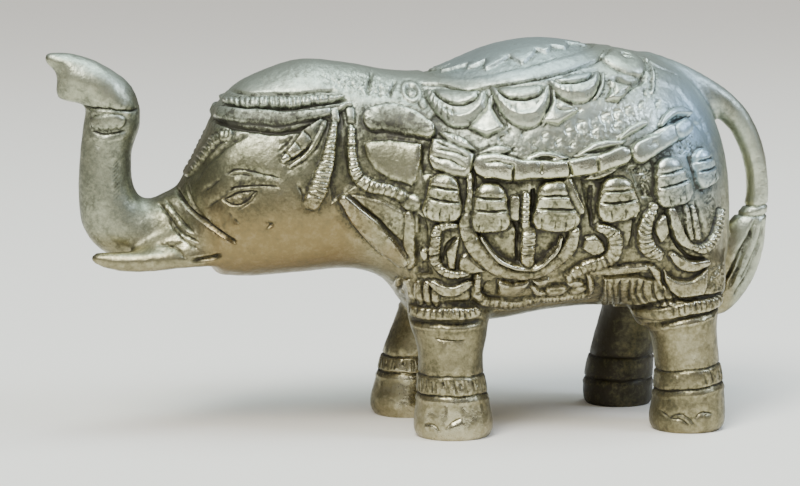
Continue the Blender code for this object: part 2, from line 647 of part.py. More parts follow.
def trunk_rings(points):
    """Two lines round the upright part of the trunk, with an oval between them on each side."""
    upright = ease((points[:, 2] - 56.0) / 2.0) * (points[:, 0] < -60.0)
    turn = np.arctan2(np.abs(points[:, 1]), points[:, 0] + 67.0)
    skin = Skin(turn * 6.0, points[:, 2], upright)
    skin.groove([(-4.0, 71.8), (6.6, 71.2), (10.0, 71.5), (14.0, 71.8), (24.0, 72.2)], 0.7, 0.5)
    skin.groove([(-4.0, 66.8), (6.6, 66.7), (10.4, 66.2), (14.0, 66.7), (24.0, 67.4)], 0.7, 0.5)
    skin.pad(bow((10.6, 68.7), 4.0, 1.65, 0, 360, 0, 3.0), 0.5, 1.0)
    return skin


# The saddle from above: its rim on one side of the spine, then the middle and half sizes
# of the oval that the petals radiate from.
SADDLE_RIM = [
    (-3.4, 0.0), (-2.6, 6.0), (-1.0, 10.5), (3.0, 11.6), (8.0, 13.5), (12.0, 15.5), (16.0, 17.2),
    (22.0, 19.4), (27.0, 19.8), (31.0, 17.8), (36.0, 15.5), (40.0, 11.5), (43.0, 6.5), (44.2, 0.0),
]
SADDLE_MIDDLE = 20.5
SADDLE_HALF = (23.5, 19.5)
PETALS = 16


def saddle_top(points, normals):
    """The saddle seen from above: a rim, cut-away points between its petals, and a lobe behind."""
    share = ease(normals[:, 2] / 0.3) * (points[:, 2] > 70.0)
    skin = Skin(points[:, 0], np.abs(points[:, 1]), share)
    lobe = [
        (38.6, 14.3), (39.9, 16.2), (41.7, 17.2), (44.2, 18.0), (46.5, 18.0), (48.0, 17.0), (48.9, 14.5),
        (48.8, 11.5), (47.5, 8.5), (45.0, 7.0), (42.5, 8.4), (40.4, 11.2),
    ]
    skin.pad(lobe, 0.9, 2.4)
    out = np.hypot((skin.u - SADDLE_MIDDLE) / SADDLE_HALF[0], skin.v / SADDLE_HALF[1])
    turn = np.arctan2(skin.v / SADDLE_HALF[1], (skin.u - SADDLE_MIDDLE) / SADDLE_HALF[0]) / (2 * math.pi)
    saw = (turn * PETALS + 0.12 * np.sin(9.0 * turn * PETALS / 4)) % 1
    notch = np.where(saw < 0.25, saw / 0.25, (1 - saw) / 0.75)
    reach = 0.56 + (0.15 + 0.05 * np.sin(turn * 29.0)) * (1 - notch) ** 0.8
    cut = np.minimum(out - reach, 0.85 - out) * SADDLE_HALF[1]
    skin.height -= ease(cut / 0.9) * 0.6
    skin.groove(SADDLE_RIM, 0.8, 0.7)
    return skin


def tail_bands(points):
    """Lines round the tail where its hair is bound."""
    lower = (points[:, 0] > 66.0) & (points[:, 2] < 52.0)
    along = np.abs(points[:, 1]) * 0.7 + points[:, 2]
    skin = Skin(
        points[:, 0], along, lower * ease((points[:, 0] - 72.5 + (points[:, 2] < 40.0) * 7.0) / 1.5),
    )
    skin.groove([(73.0, 47.6), (77.5, 47.0), (82.0, 48.0)], 0.8, 0.5)
    skin.groove([(73.0, 45.0), (77.5, 44.4), (82.0, 45.4)], 0.8, 0.5)
    return skin


def carve(animal):
    """Raise all the carving from the plain animal, square to its skin."""
    mesh = animal.data
    count = len(mesh.vertices)
    points = np.empty(count * 3)
    normals = np.empty(count * 3)
    mesh.vertices.foreach_get("co", points)
    mesh.vertices.foreach_get("normal", normals)
    points, normals = points.reshape(-1, 3), normals.reshape(-1, 3)
    outward = normals[:, 1] * np.sign(points[:, 1])
    flank = Skin(points[:, 0], points[:, 2], ease(outward / 0.35))
    ground = [
        (-3.5, 66.0), (3.0, 70.0), (20.0, 69.0), (34.0, 73.0), (52.0, 74.0), (60.0, 68.0), (66.0, 58.0),
        (68.0, 40.0), (60.0, 30.0), (36.0, 28.0), (8.0, 27.0), (-4.0, 33.0), (-2.0, 54.0),
    ]
    flank.sink(ground, 0.4)
    for motif in (
        headgear, face, ear, harness, saddle_cloth, fringe, scrolls, curls, medallion, flank_bells, garland,
        leg_bands,
    ):
        motif(flank)
    raised = np.zeros(count)
    for skin in [
        flank, saddle_top(points, normals), trunk_rings(points), tail_bands(points),
    ] + anklets(points):
        raised[skin.spot] += skin.height * skin.share
    mesh.vertices.foreach_set("co", (points + normals * raised[:, None]).ravel())
    mesh.update()


def facet(animal):
    """Fewer, larger triangles, as many as the carving needs."""
    mesh = animal.data
    mesh.calc_loop_triangles()
    fewer = animal.modifiers.new("fewer", "DECIMATE")
    fewer.ratio = TRIANGLES / len(mesh.loop_triangles)
    fewer.use_collapse_triangulate = True
    apply_modifiers(animal)


def stand(animal):
    """Cut the feet off flat, centre the casting over them and give it its real size."""
    made = bmesh.new()
    made.from_mesh(animal.data)
    cut = bmesh.ops.bisect_plane(
        made, geom=made.verts[:] + made.edges[:] + made.faces[:], plane_co=(0, 0, 0), plane_no=(0, 0, 1),
        clear_inner=True,
    )
    rims = [e for e in cut["geom_cut"] if isinstance(e, bmesh.types.BMEdge)]
    bmesh.ops.holes_fill(made, edges=rims)
    bmesh.ops.triangulate(made, faces=made.faces)
    low = [min(v.co[k] for v in made.verts) for k in range(3)]
    high = [max(v.co[k] for v in made.verts) for k in range(3)]
    size = LENGTH / (high[0] - low[0])
    for v in made.verts:
        v.co.x = (v.co.x - (low[0] + high[0]) / 2) * size
        v.co.y = (v.co.y - (low[1] + high[1]) / 2) * size
        v.co.z = v.co.z * size
    made.to_mesh(animal.data)
    made.free()


def brass(animal):
    material = bpy.data.materials.new("aged brass")
    material.use_nodes = True
    finish = material.node_tree.nodes["Principled BSDF"]
    finish.inputs["Base Color"].default_value = (*BRASS, 1.0)
    finish.inputs["Metallic"].default_value = 1.0
    finish.inputs["Roughness"].default_value = BRASS_ROUGHNESS
    animal.data.materials.clear()
    animal.data.materials.append(material)


def main():
    for old in list(bpy.data.objects):
        bpy.data.objects.remove(old)
    animal = plain_animal()
    carve(animal)
    facet(animal)
    stand(animal)
    brass(animal)


main()
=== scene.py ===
# %% [markdown]
# # A brass elephant, about 16 cm long
#
# The real figurine is a sand casting: molten brass is poured into a mould, and the
# casting is then chased, which means that ropes, bells and leaves are sharpened with
# files, chisels and punches. Years of polishing leave the high places bright, while a
# dark patina stays in every cut.
#
# The script follows the same order. It lofts a plain animal, raises the carving from
# its skin, and lets the patina settle where the carving is deep.

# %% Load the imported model
import math

import bmesh
import bpy
import numpy as np
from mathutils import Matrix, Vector


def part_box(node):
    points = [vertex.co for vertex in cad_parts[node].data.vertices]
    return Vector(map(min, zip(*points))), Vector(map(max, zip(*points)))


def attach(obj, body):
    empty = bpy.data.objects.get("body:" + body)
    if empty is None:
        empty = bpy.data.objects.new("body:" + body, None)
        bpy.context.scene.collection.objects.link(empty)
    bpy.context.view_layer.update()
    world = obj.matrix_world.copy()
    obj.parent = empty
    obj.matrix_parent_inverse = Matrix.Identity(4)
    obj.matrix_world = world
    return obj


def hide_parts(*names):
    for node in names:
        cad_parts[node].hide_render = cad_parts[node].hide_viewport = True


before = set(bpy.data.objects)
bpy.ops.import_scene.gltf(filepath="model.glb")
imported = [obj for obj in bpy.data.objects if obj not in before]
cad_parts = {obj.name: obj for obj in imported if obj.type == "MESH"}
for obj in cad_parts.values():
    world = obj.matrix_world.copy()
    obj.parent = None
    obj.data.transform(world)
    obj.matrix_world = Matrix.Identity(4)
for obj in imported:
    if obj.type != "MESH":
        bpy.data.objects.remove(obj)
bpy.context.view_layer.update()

low_corner, high_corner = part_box("elephant")
print("the casting measures", [round((b - a) * 1000, 1) for a, b in zip(low_corner, high_corner)], "mm")

# %% [markdown]
# ## The plain animal
#
# A sculptor starts from masses: a barrel for the body, and tapered rolls for the legs,
# trunk, tusks and tail. Each one here is a loft, which is a row of rings joined by
# faces. Few stations are typed, in millimetres, and a smooth curve runs through them,
# because that keeps the outline easy to change.

# %% The stations of the body and limbs
RING_SIDES = 48
SQUARENESS = 2.35

BODY = [
    # x, underside, top, half width, how much narrower the top is
    (-54.0, 41.0, 51.0, 4.0, 0.00),
    (-51.5, 39.3, 56.5, 8.0, 0.05),
    (-49.0, 38.6, 60.8, 11.0, 0.10),
    (-46.5, 37.8, 66.2, 13.8, 0.15),
    (-45.2, 35.7, 69.4, 14.8, 0.18),
    (-44.0, 34.7, 71.9, 15.6, 0.20),
    (-41.5, 34.5, 75.0, 16.4, 0.22),
    (-36.6, 34.3, 78.2, 17.4, 0.22),
    (-26.0, 35.0, 81.7, 18.4, 0.22),
    (-15.4, 35.6, 80.9, 18.6, 0.18),
    (-7.5, 33.0, 79.4, 20.3, 0.12),
    (-2.0, 26.0, 78.9, 23.0, 0.09),
    (1.5, 23.9, 79.0, 24.3, 0.08),
    (6.0, 23.3, 80.1, 25.6, 0.08),
    (16.7, 23.7, 84.4, 27.2, 0.08),
    (27.5, 25.5, 86.1, 27.6, 0.08),
    (38.4, 26.4, 84.8, 27.5, 0.08),
    (49.3, 25.6, 82.9, 26.5, 0.10),
    (54.8, 24.8, 80.8, 25.2, 0.12),
    (60.0, 25.0, 77.4, 22.8, 0.14),
    (63.6, 26.0, 73.6, 19.4, 0.16),
    (66.7, 28.5, 69.0, 15.0, 0.16),
    (69.0, 32.5, 63.0, 10.4, 0.12),
    (70.5, 38.5, 55.5, 5.0, 0.0),
]

# Limbs: x, y, z of the middle, then the radius across and the radius through.
TRUNK = [
    (-40.0, 0, 47.0, 9.0, 9.5),
    (-50.0, 0, 46.4, 7.8, 8.2),
    (-57.0, 0, 44.6, 7.0, 7.1),
    (-62.6, 0, 44.9, 6.7, 7.1),
    (-66.5, 0, 47.6, 6.4, 7.3),
    (-68.3, 0, 53.6, 6.2, 6.1),
    (-68.3, 0, 60.7, 5.9, 5.65),
    (-67.7, 0, 65.0, 5.9, 5.75),
    (-66.7, 0, 68.9, 6.1, 6.15),
    (-66.9, 0, 72.8, 6.0, 5.6),
    (-69.2, 0, 75.5, 5.6, 5.0),
    (-71.8, 0, 77.0, 5.2, 4.8),
    (-74.3, 0, 77.9, 4.7, 4.4),
]
TRUNK_FINGER = [(-71.5, 0, 79.4, 3.8, 2.8), (-76.4, 0, 80.9, 3.4, 2.7), (-79.9, 0, 82.2, 2.3, 1.6)]
TRUNK_LIP = [(-72.0, 0, 75.4, 3.9, 3.1), (-76.7, 0, 75.2, 3.4, 2.4)]
TUSK = [
    (-42.0, -9.0, 40.0, 2.8, 2.4),
    (-52.0, -9.6, 39.5, 2.9, 2.4),
    (-62.0, -9.3, 38.8, 2.7, 2.4),
    (-68.0, -8.6, 39.0, 2.2, 2.0),
    (-71.2, -8.2, 39.6, 1.5, 1.3),
]
RIGHT_TUSK = 0.87
TUSK_SHEATH = [
    (-44.0, -9.0, 44.0, 4.2, 5.0),
    (-51.0, -7.6, 42.8, 3.6, 3.9),
    (-58.0, -7.0, 41.1, 2.6, 2.6),
    (-61.5, -7.0, 40.3, 1.8, 1.6),
]
TAIL = [
    (52.0, 0, 80.4, 2.8, 2.6),
    (60.0, 0, 77.0, 3.0, 3.0),
    (67.0, 0, 72.8, 2.9, 3.3),
    (71.8, 0, 69.2, 2.8, 3.2),
    (75.1, 0, 64.8, 2.8, 2.9),
    (77.4, 0, 59.0, 2.8, 2.75),
    (78.4, 0, 52.3, 2.8, 2.6),
    (77.9, 0, 46.5, 3.0, 3.0),
    (75.8, 0, 41.6, 3.4, 4.9),
    (73.6, 0, 33.8, 3.4, 5.1),
    (70.0, 0, 26.8, 3.0, 3.9),
    (66.7, 0, 23.8, 2.0, 1.9),
]
LEGS = {
    "front left": [
        (5.3, -15.0, 36.0, 9.5, 9.6),
        (5.0, -15.2, 27.0, 8.5, 9.1),
        (5.3, -15.4, 22.6, 7.9, 8.1),
        (5.3, -15.5, 17.6, 7.4, 7.1),
        (5.4, -15.5, 12.0, 7.7, 7.5),
        (5.7, -15.5, 7.6, 8.1, 8.1),
        (5.9, -15.5, 3.0, 8.6, 8.8),
        (5.9, -15.5, 1.2, 8.5, 8.7),
        (5.9, -15.5, -0.4, 7.3, 7.5),
        (5.9, -15.5, -2.4, 4.5, 4.5),
    ],
    "front right": [
        (6.6, 14.0, 36.0, 8.6, 7.8),
        (6.3, 13.6, 27.0, 7.9, 7.2),
        (4.7, 13.2, 21.0, 7.5, 7.0),
        (1.7, 13.0, 13.3, 7.4, 7.1),
        (0.7, 12.8, 6.4, 8.0, 8.0),
        (0.3, 12.8, 3.0, 8.5, 8.6),
        (0.3, 12.8, 1.2, 8.3, 8.4),
        (0.3, 12.8, -0.4, 7.1, 7.2),
        (0.3, 12.8, -2.4, 4.5, 4.5),
    ],
    "hind left": [
        (56.2, -14.0, 36.0, 9.5, 11.0),
        (56.0, -14.7, 29.0, 8.7, 10.8),
        (57.0, -15.0, 25.6, 8.3, 8.9),
        (57.5, -15.2, 22.6, 7.9, 7.5),
        (58.4, -15.4, 15.0, 7.5, 7.2),
        (58.9, -15.4, 8.5, 8.0, 7.9),
        (58.6, -15.4, 3.0, 8.4, 8.5),
        (58.5, -15.4, 1.2, 8.3, 8.4),
        (58.5, -15.4, -0.4, 7.1, 7.2),
        (58.5, -15.4, -2.4, 4.5, 4.5),
    ],
    "hind right": [
        (55.4, 15.0, 38.0, 9.5, 10.0),
        (55.0, 16.2, 28.0, 8.5, 8.4),
        (54.4, 17.2, 22.0, 7.8, 7.6),
        (51.9, 18.2, 12.5, 7.4, 7.4),
        (51.0, 18.5, 5.0, 8.1, 8.1),
        (51.0, 18.5, 1.3, 8.1, 8.2),
        (51.0, 18.5, -0.4, 7.0, 7.1),
        (51.0, 18.5, -2.4, 4.5, 4.5),
    ],
}
print(len(BODY), "stations along the body,", sum(len(row) for row in LEGS.values()), "along the legs")

# %% [markdown]
# ## Smooth curves
#
# A Catmull-Rom curve passes through every point that it is given, so the stations stay
# readable as sizes. The same helper serves the lofts here and the ropes further down.

# %% A curve through points, and an easing
def through(rows, steps):
    """Rows of a smooth curve that runs through the given rows."""
    rows = np.array(rows, float)
    rows = np.vstack([2 * rows[0] - rows[1], rows, 2 * rows[-1] - rows[-2]])
    t = np.linspace(0, 1, steps, endpoint=False)[:, None]
    found = []
    for a, b, c, d in zip(rows, rows[1:], rows[2:], rows[3:]):
        found.append(
            0.5 * (
                2 * b + (c - a) * t + (2 * a - 5 * b + 4 * c - d) * t**2 + (3 * b - a - 3 * c + d) * t**3
            )
        )
    return np.vstack(found + [rows[-2:-1]])


def ease(t):
    """Rises smoothly from 0 to 1."""
    t = np.clip(t, 0.0, 1.0)
    return t * t * (3 - 2 * t)


print("a curve through 3 points has", len(through([(0, 0), (1, 1), (2, 0)], 6)), "points")

# %% [markdown]
# ## Lofting and fusing
#
# Each loft is closed with its own ends, so the lofts may simply run into each other.
# A voxel remesh then fuses them into one even skin, as clay is thumbed together, and a
# few passes of smoothing round the corners where a leg meets the belly. Subdivision
# makes the skin fine enough, about 0.2 mm, to take the cut of a chisel.

# %% Rings, lofts and limbs
def loft(rings):
    """A closed skin over rings of points, with flat ends."""
    made = bmesh.new()
    loops = [[made.verts.new(p) for p in ring] for ring in rings]
    for low, high in zip(loops, loops[1:]):
        for i in range(len(low)):
            j = (i + 1) % len(low)
            made.faces.new((low[i], low[j], high[j], high[i]))
    made.faces.new(reversed(loops[0]))
    made.faces.new(loops[-1])
    bmesh.ops.recalc_face_normals(made, faces=made.faces)
    return made


def body():
    """The trunkless body and head: squared ovals along the spine."""
    turn = np.linspace(0, 2 * math.pi, 2 * RING_SIDES, endpoint=False)
    across = np.sign(np.cos(turn)) * np.abs(np.cos(turn)) ** (2 / SQUARENESS)
    upward = np.sign(np.sin(turn)) * np.abs(np.sin(turn)) ** (2 / SQUARENESS)
    rings = []
    for x, low, high, half, taper in through(BODY, 4):
        y = half * across * (1 - taper * upward)
        z = (low + high) / 2 + (high - low) / 2 * upward
        rings.append(np.stack([np.full_like(y, x), y, z], axis=1))
    return loft(rings)


def limb(stations):
    """A round limb through its stations, with domed ends."""
    rows = through(stations, 6)
    middle, radius = rows[:, :3], rows[:, 3:]
    ahead = np.gradient(middle, axis=0)
    ahead /= np.linalg.norm(ahead, axis=1)[:, None]
    turn = np.linspace(0, 2 * math.pi, RING_SIDES, endpoint=False)[:, None]
    rings = []

    def ring(at, offset, share):
        side = np.array([0.0, 1.0, 0.0]) - ahead[at] * ahead[at][1]
        side /= np.linalg.norm(side)
        thick = np.cross(ahead[at], side)
        centre = middle[at] + ahead[at] * offset
        rings.append(
            centre + share * (radius[at][0] * np.cos(turn) * side + radius[at][1] * np.sin(turn) * thick)
        )

    dome = np.radians([80, 60, 40, 20])
    for a in dome:
        ring(0, -radius[0].min() * math.sin(a), math.cos(a))
    for at in range(len(rows)):
        ring(at, 0.0, 1.0)
    for a in dome[::-1]:
        ring(-1, radius[-1].min() * math.sin(a), math.cos(a))
    return loft(rings)


def mirrored(stations, length=1.0):
    """The same limb on the right, its length taken from the root."""
    root = stations[0][0]
    return [(root + (x - root) * length, -y, z, across, thick) for x, y, z, across, thick in stations]


# %% Fuse the lofts into one skin
VOXEL = 0.8
EASE_PASSES = 12
FINE_LEVELS = 2


def read_points(mesh, name):
    """Each point's place, or its normal, one row each."""
    values = np.empty(len(mesh.vertices) * 3)
    mesh.vertices.foreach_get(name, values)
    return values.reshape(-1, 3)


def apply_modifiers(made):
    graph = bpy.context.evaluated_depsgraph_get()
    mesh = bpy.data.meshes.new_from_object(made.evaluated_get(graph))
    made.modifiers.clear()
    made.data = mesh


def plain_animal():
    """All the lofts fused into one even skin, and eased where they meet."""
    lofts = [body()] + [limb(s) for s in (TRUNK, TRUNK_FINGER, TRUNK_LIP, TAIL)]
    lofts += [limb(TUSK), limb(mirrored(TUSK, RIGHT_TUSK)), limb(TUSK_SHEATH), limb(mirrored(TUSK_SHEATH))]
    lofts += [limb(stations) for stations in LEGS.values()]
    whole = bmesh.new()
    for made in lofts:
        mesh = bpy.data.meshes.new("loft")
        made.to_mesh(mesh)
        whole.from_mesh(mesh)
        made.free()
        bpy.data.meshes.remove(mesh)
    mesh = bpy.data.meshes.new("brass_elephant")
    whole.to_mesh(mesh)
    whole.free()
    animal = bpy.data.objects.new("brass_elephant", mesh)
    bpy.context.scene.collection.objects.link(animal)
    fuse = animal.modifiers.new("fuse", "REMESH")
    fuse.mode = "VOXEL"
    fuse.voxel_size = VOXEL
    soften = animal.modifiers.new("soften", "SMOOTH")
    soften.factor = 0.5
    soften.iterations = EASE_PASSES
    finer = animal.modifiers.new("finer", "SUBSURF")
    finer.levels = FINE_LEVELS
    finer.render_levels = FINE_LEVELS
    apply_modifiers(animal)
    return animal


elephant = plain_animal()
print("the plain animal has", len(elephant.data.vertices), "points")

# %% [markdown]
# ## Carving on a skin laid flat
#
# A chaser draws on the metal as on paper: this far along, this far up. So a stretch of
# the surface is treated as a flat sheet, each motif only says how high the metal stands
# inside its outline, and at the end every point moves that far along its own normal.
# Every motif that is laid on gets a narrow ditch round it. That ditch is what the
# chisel leaves, and it is where the patina stays. A hand never cuts the same line twice,
# so the sheet itself is a little crooked, and the ditch is now deep and now shallow.

# %% The carving tools
BLUR = 0.25
DITCH = 0.26
DITCH_WIDTH = 0.6
DEEPEST = 1.15
TICK_HALF = 0.28
DRIFT = 0.10
TREMBLE = 0.04


class Skin:
    """A stretch of the surface laid flat, u along it and v up it, with the carving's height."""

    def __init__(self, u, v, share):
        self.spot = np.flatnonzero(share > 0)
        u, v = u[self.spot], v[self.spot]
        self.u = u + DRIFT * np.sin(0.8 * v + 0.3 * u) + TREMBLE * np.sin(2.1 * v - 0.9 * u)
        self.v = v + DRIFT * np.sin(0.7 * u - 0.4 * v + 1.0) + TREMBLE * np.sin(1.9 * u + 1.3 * v)
        # How hard the hand leans on the chisel, about 1, here more and there less.
        self.hand = 0.75 + 0.35 * np.sin(0.83 * u + 2.0 * np.sin(0.41 * v)) * np.sin(0.71 * v + 1.1)
        self.share = share[self.spot]
        self.height = np.zeros(len(self.spot))

    def measure(self, route, reach):
        """For the points near a route: distance, how far along it, which side of it, and its length."""
        low = route.min(axis=0) - reach
        high = route.max(axis=0) + reach
        here = np.flatnonzero(
            (self.u > low[0]) & (self.u < high[0]) & (self.v > low[1]) & (self.v < high[1])
        )
        u, v = self.u[here], self.v[here]
        away = np.full(len(here), 1e3)
        along = np.zeros(len(here))
        side = np.zeros(len(here))
        covered = 0.0
        for a, b in zip(route, route[1:]):
            step = b - a
            length = math.hypot(*step)
            if length == 0:
                continue
            t = np.clip(((u - a[0]) * step[0] + (v - a[1]) * step[1]) / length**2, 0, 1)
            off = np.hypot(u - a[0] - t * step[0], v - a[1] - t * step[1])
            closer = off < away
            away[closer] = off[closer]
            along[closer] = covered + t[closer] * length
            side[closer] = ((step[0] * (v - a[1]) - step[1] * (u - a[0])) / length)[closer]
            covered += length
        return here, away, along, side, covered

    def within(self, here, outline):
        """Which of the points lie inside a closed outline."""
        u, v = self.u[here], self.v[here]
        inside = np.zeros(len(here), bool)
        for a, b in zip(outline, outline[1:]):
            if a[1] != b[1]:
                crossing = (a[1] > v) != (b[1] > v)
                inside ^= crossing & (u < (b[0] - a[0]) * (v - a[1]) / (b[1] - a[1]) + a[0])
        return inside

    def lay(self, here, edge, top):
        """Set a motif on the ground; edge is how far in from its outline a point lies."""
        ground = self.height[here] - DITCH * self.hand[here] * ease(1 + edge / DITCH_WIDTH)
        ground = np.maximum(ground, -DEEPEST)
        self.height[here] = ground + (top - ground) * ease(edge / BLUR + 0.5)

    def cord(self, points, half, rise, ticks=0.0, cut=0.35, crest=0.0, slant=0.0):
        """A rounded cord: half may list half widths, ticks spaces cuts across it, crest shifts its ridge."""
        half = np.atleast_1d(half)
        here, away, along, side, length = self.measure(through(points, 8), half.max() + DITCH_WIDTH)
        width = np.interp(along / length, np.linspace(0, 1, len(half)), half)
        lean = np.clip(side / width, -1, 1) * np.minimum(away / width, 1) - crest
        lean = np.where(lean > 0, lean / (1 - crest), -lean / (1 + crest))
        top = rise * np.sqrt(np.clip(1 - np.maximum(lean, away / width * (crest == 0)) ** 2, 0, 1)) ** 0.8
        if ticks:
            place = along + slant * side + 0.12 * ticks * np.sin(along * 7.3 / ticks)
            off = np.abs((place / ticks + 0.5) % 1 - 0.5) * ticks
            deep = cut * (0.8 + 0.3 * np.sin(along * 2.9 / ticks))
            top = top - deep * ease(1 - off / TICK_HALF) * np.clip(rise, 0.5, 1.0)
        self.lay(here, width - away, top)

    def groove(self, points, half, depth):
        """A cut that thins out at both ends, as a graver leaves it; a ridge where depth is below zero."""
        here, away, along, side, length = self.measure(through(points, 8), half)
        taper = ease(np.minimum(along, length - along) / (2.5 * half) + 0.25)
        self.height[here] -= depth * taper * ease(1 - away / half)

    def pad(self, outline, rise, rounding=1.2):
        """A raised pad inside a closed outline, with a rounded shoulder."""
        outline = np.array(outline + outline[:1], float)
        here, away, along, side, length = self.measure(outline, DITCH_WIDTH)
        edge = np.where(self.within(here, outline), away, -away)
        self.lay(here, edge, rise * np.sqrt(1 - (1 - np.clip(edge / rounding, 0, 1)) ** 2))

    def sink(self, outline, depth, slope=0.9):
        """Ground let down inside a closed outline."""
        outline = np.array(outline + outline[:1], float)
        here, away, along, side, length = self.measure(outline, 0.0)
        edge = np.where(self.within(here, outline), away, 0.0)
        self.height[here] -= depth * ease(edge / slope)

    def rough(self, outline, depth, grain, slope=2.0):
        """Ground left as it came out of the sand, lumpy at the given grain."""
        outline = np.array(outline + outline[:1], float)
        here, away, along, side, length = self.measure(outline, 0.0)
        edge = np.where(self.within(here, outline), away, 0.0)
        k = 2 * math.pi / grain
        u, v = self.u[here], self.v[here]
        lumps = np.sin(k * u + 1.9 * np.sin(0.37 * k * v + u))
        lumps *= np.sin(0.9 * k * v + 2.3 * np.sin(0.31 * k * u - v))
        finer = 0.6 * np.sin(1.9 * k * v + 1.7 * np.sin(0.8 * k * u))
        lumps += finer * np.sin(2.1 * k * u + 1.1 * np.sin(k * v))
        self.height[here] -= depth * ease(edge / slope) * (0.4 + 0.6 * lumps)

    def ticks(self, start, end, count, reach, half=0.3, depth=0.35, lean=0.0):
        """A row of short upright cuts from start to end."""
        for k in range(count):
            t = (k + 0.5) / count
            u = start[0] + (end[0] - start[0]) * t
            v = start[1] + (end[1] - start[1]) * t
            long = reach * (0.8 + 0.2 * math.sin(5.1 * k + start[0]))
            self.groove([(u, v), (u + lean / 2, v - long / 2), (u + lean, v - long)], half, depth)


print("carving tools ready: cord, groove, pad, sink, rough, ticks")

# %% Outlines that the motifs share
def bow(centre, half, depth, start=180, end=360, tilt=0.0, square=2.0):
    """Points of an arc of an ellipse from one angle to another; square above 2 makes a barrel of it."""
    steps = max(6, int(abs(end - start) / 15))
    lean = math.radians(tilt)
    points = []
    for k in range(steps + 1):
        a = math.radians(start + (end - start) * k / steps)
        u = half * math.copysign(abs(math.cos(a)) ** (2 / square), math.cos(a))
        v = depth * math.copysign(abs(math.sin(a)) ** (2 / square), math.sin(a))
        points.append(
            (
                centre[0] + u * math.cos(lean) - v * math.sin(lean),
                centre[1] + u * math.sin(lean) + v * math.cos(lean),
            )
        )
    return points


def leaf(tip, root, half):
    """Outline of a pointed leaf between two points."""
    tip, root = np.array(tip, float), np.array(root, float)
    run = root - tip
    side = np.array([-run[1], run[0]]) / math.hypot(*run)
    shares = np.linspace(0, 1, 9)
    up = [tuple(tip + run * t + side * half * math.sin(math.pi * t)) for t in shares]
    down = [tuple(tip + run * t - side * half * math.sin(math.pi * t)) for t in shares[-2:0:-1]]
    return up + down


print("an oval of", len(bow((0, 0), 2, 1, 0, 360)), "points, a leaf of", len(leaf((0, 0), (4, 0), 1)))

# %% [markdown]
# ## Crown, brow and face
#
# Round the crown run a chased rope and a rolled brim, with a deep cut below them. A short
# braid follows the brow, and the eye is an almond between engraved lids. Skin is left
# smooth, so that the polish shows against the busy harness.

# %% Headgear
def headgear(flank):
    flank.rough([
        (-43, 77.5), (-34, 75.8), (-24, 76.2), (-8, 72.6), (-6, 79), (-20, 82.5), (-34, 82),
    ], 0.10, 1.9, 3)
    flank.rough([(-24, 79.5), (-22.5, 75.8), (-14, 73.2), (-6, 73), (-6, 78), (-14, 80.5)], 0.22, 1.3, 2)
    flank.groove([
        (-42.4, 75.2), (-39.8, 74.9), (-35.3, 74.7), (-30.1, 74.8), (-25.2, 75.1), (-19.4, 75.5),
    ], 0.5, 0.6)
    flank.cord([
        (-42.6, 73), (-38.3, 73), (-34.4, 73), (-30.5, 73), (-26.6, 73.2), (-21.9, 73.7), (-18, 74.1),
    ], (0.4, 1.05, 1.2, 1.2, 1.15, 0.9, 0.35), 0.85, 0.98, 0.5)
    flank.groove([
        (-42.8, 72.3), (-38.3, 71.7), (-31.9, 71.7), (-27.4, 72), (-21.9, 72.8), (-16.8, 73.4),
    ], 0.45, 0.55)
    flank.cord([
        (-46.2, 70.2), (-42, 70.3), (-36.6, 69.9), (-31, 69.7), (-25.6, 70.2), (-20.6, 71.2), (-16.4, 72.4),
    ], (0.9, 1.35, 1.5, 1.4, 1, 0.7, 0.3), 1.1, crest=0.45)
    flank.groove([
        (-46.6, 69.2), (-42, 68.1), (-37.3, 67.2), (-32, 66.9), (-27.6, 67.3), (-24.2, 68.2), (-21, 69.4),
    ], 0.85, 1.05)
    braid = through([
        (-42.4, 66.3), (-44.1, 65.8), (-45.7, 64.6), (-47.1, 62.7), (-48.3, 60.8), (-49.8, 58.6),
        (-51.4, 56.4),
    ], 1)
    for k, ((u, v), (next_u, next_v)) in enumerate(zip(braid, braid[1:])):
        between = ((u + next_u) / 2, (v + next_v) / 2)
        flank.pad(bow((u, v), 1.25, 0.72, 0, 360, 62 - 3 * k), 0.75, 0.6)
        flank.pad(bow(between, 1.2, 0.7, 0, 360, 60 - 3 * k), 0.7, 0.6)
    flank.groove([(-38.6, 66.4), (-42.7, 64.2), (-45.3, 62), (-47.6, 59.4), (-49.4, 56.6)], 0.8, 0.6)


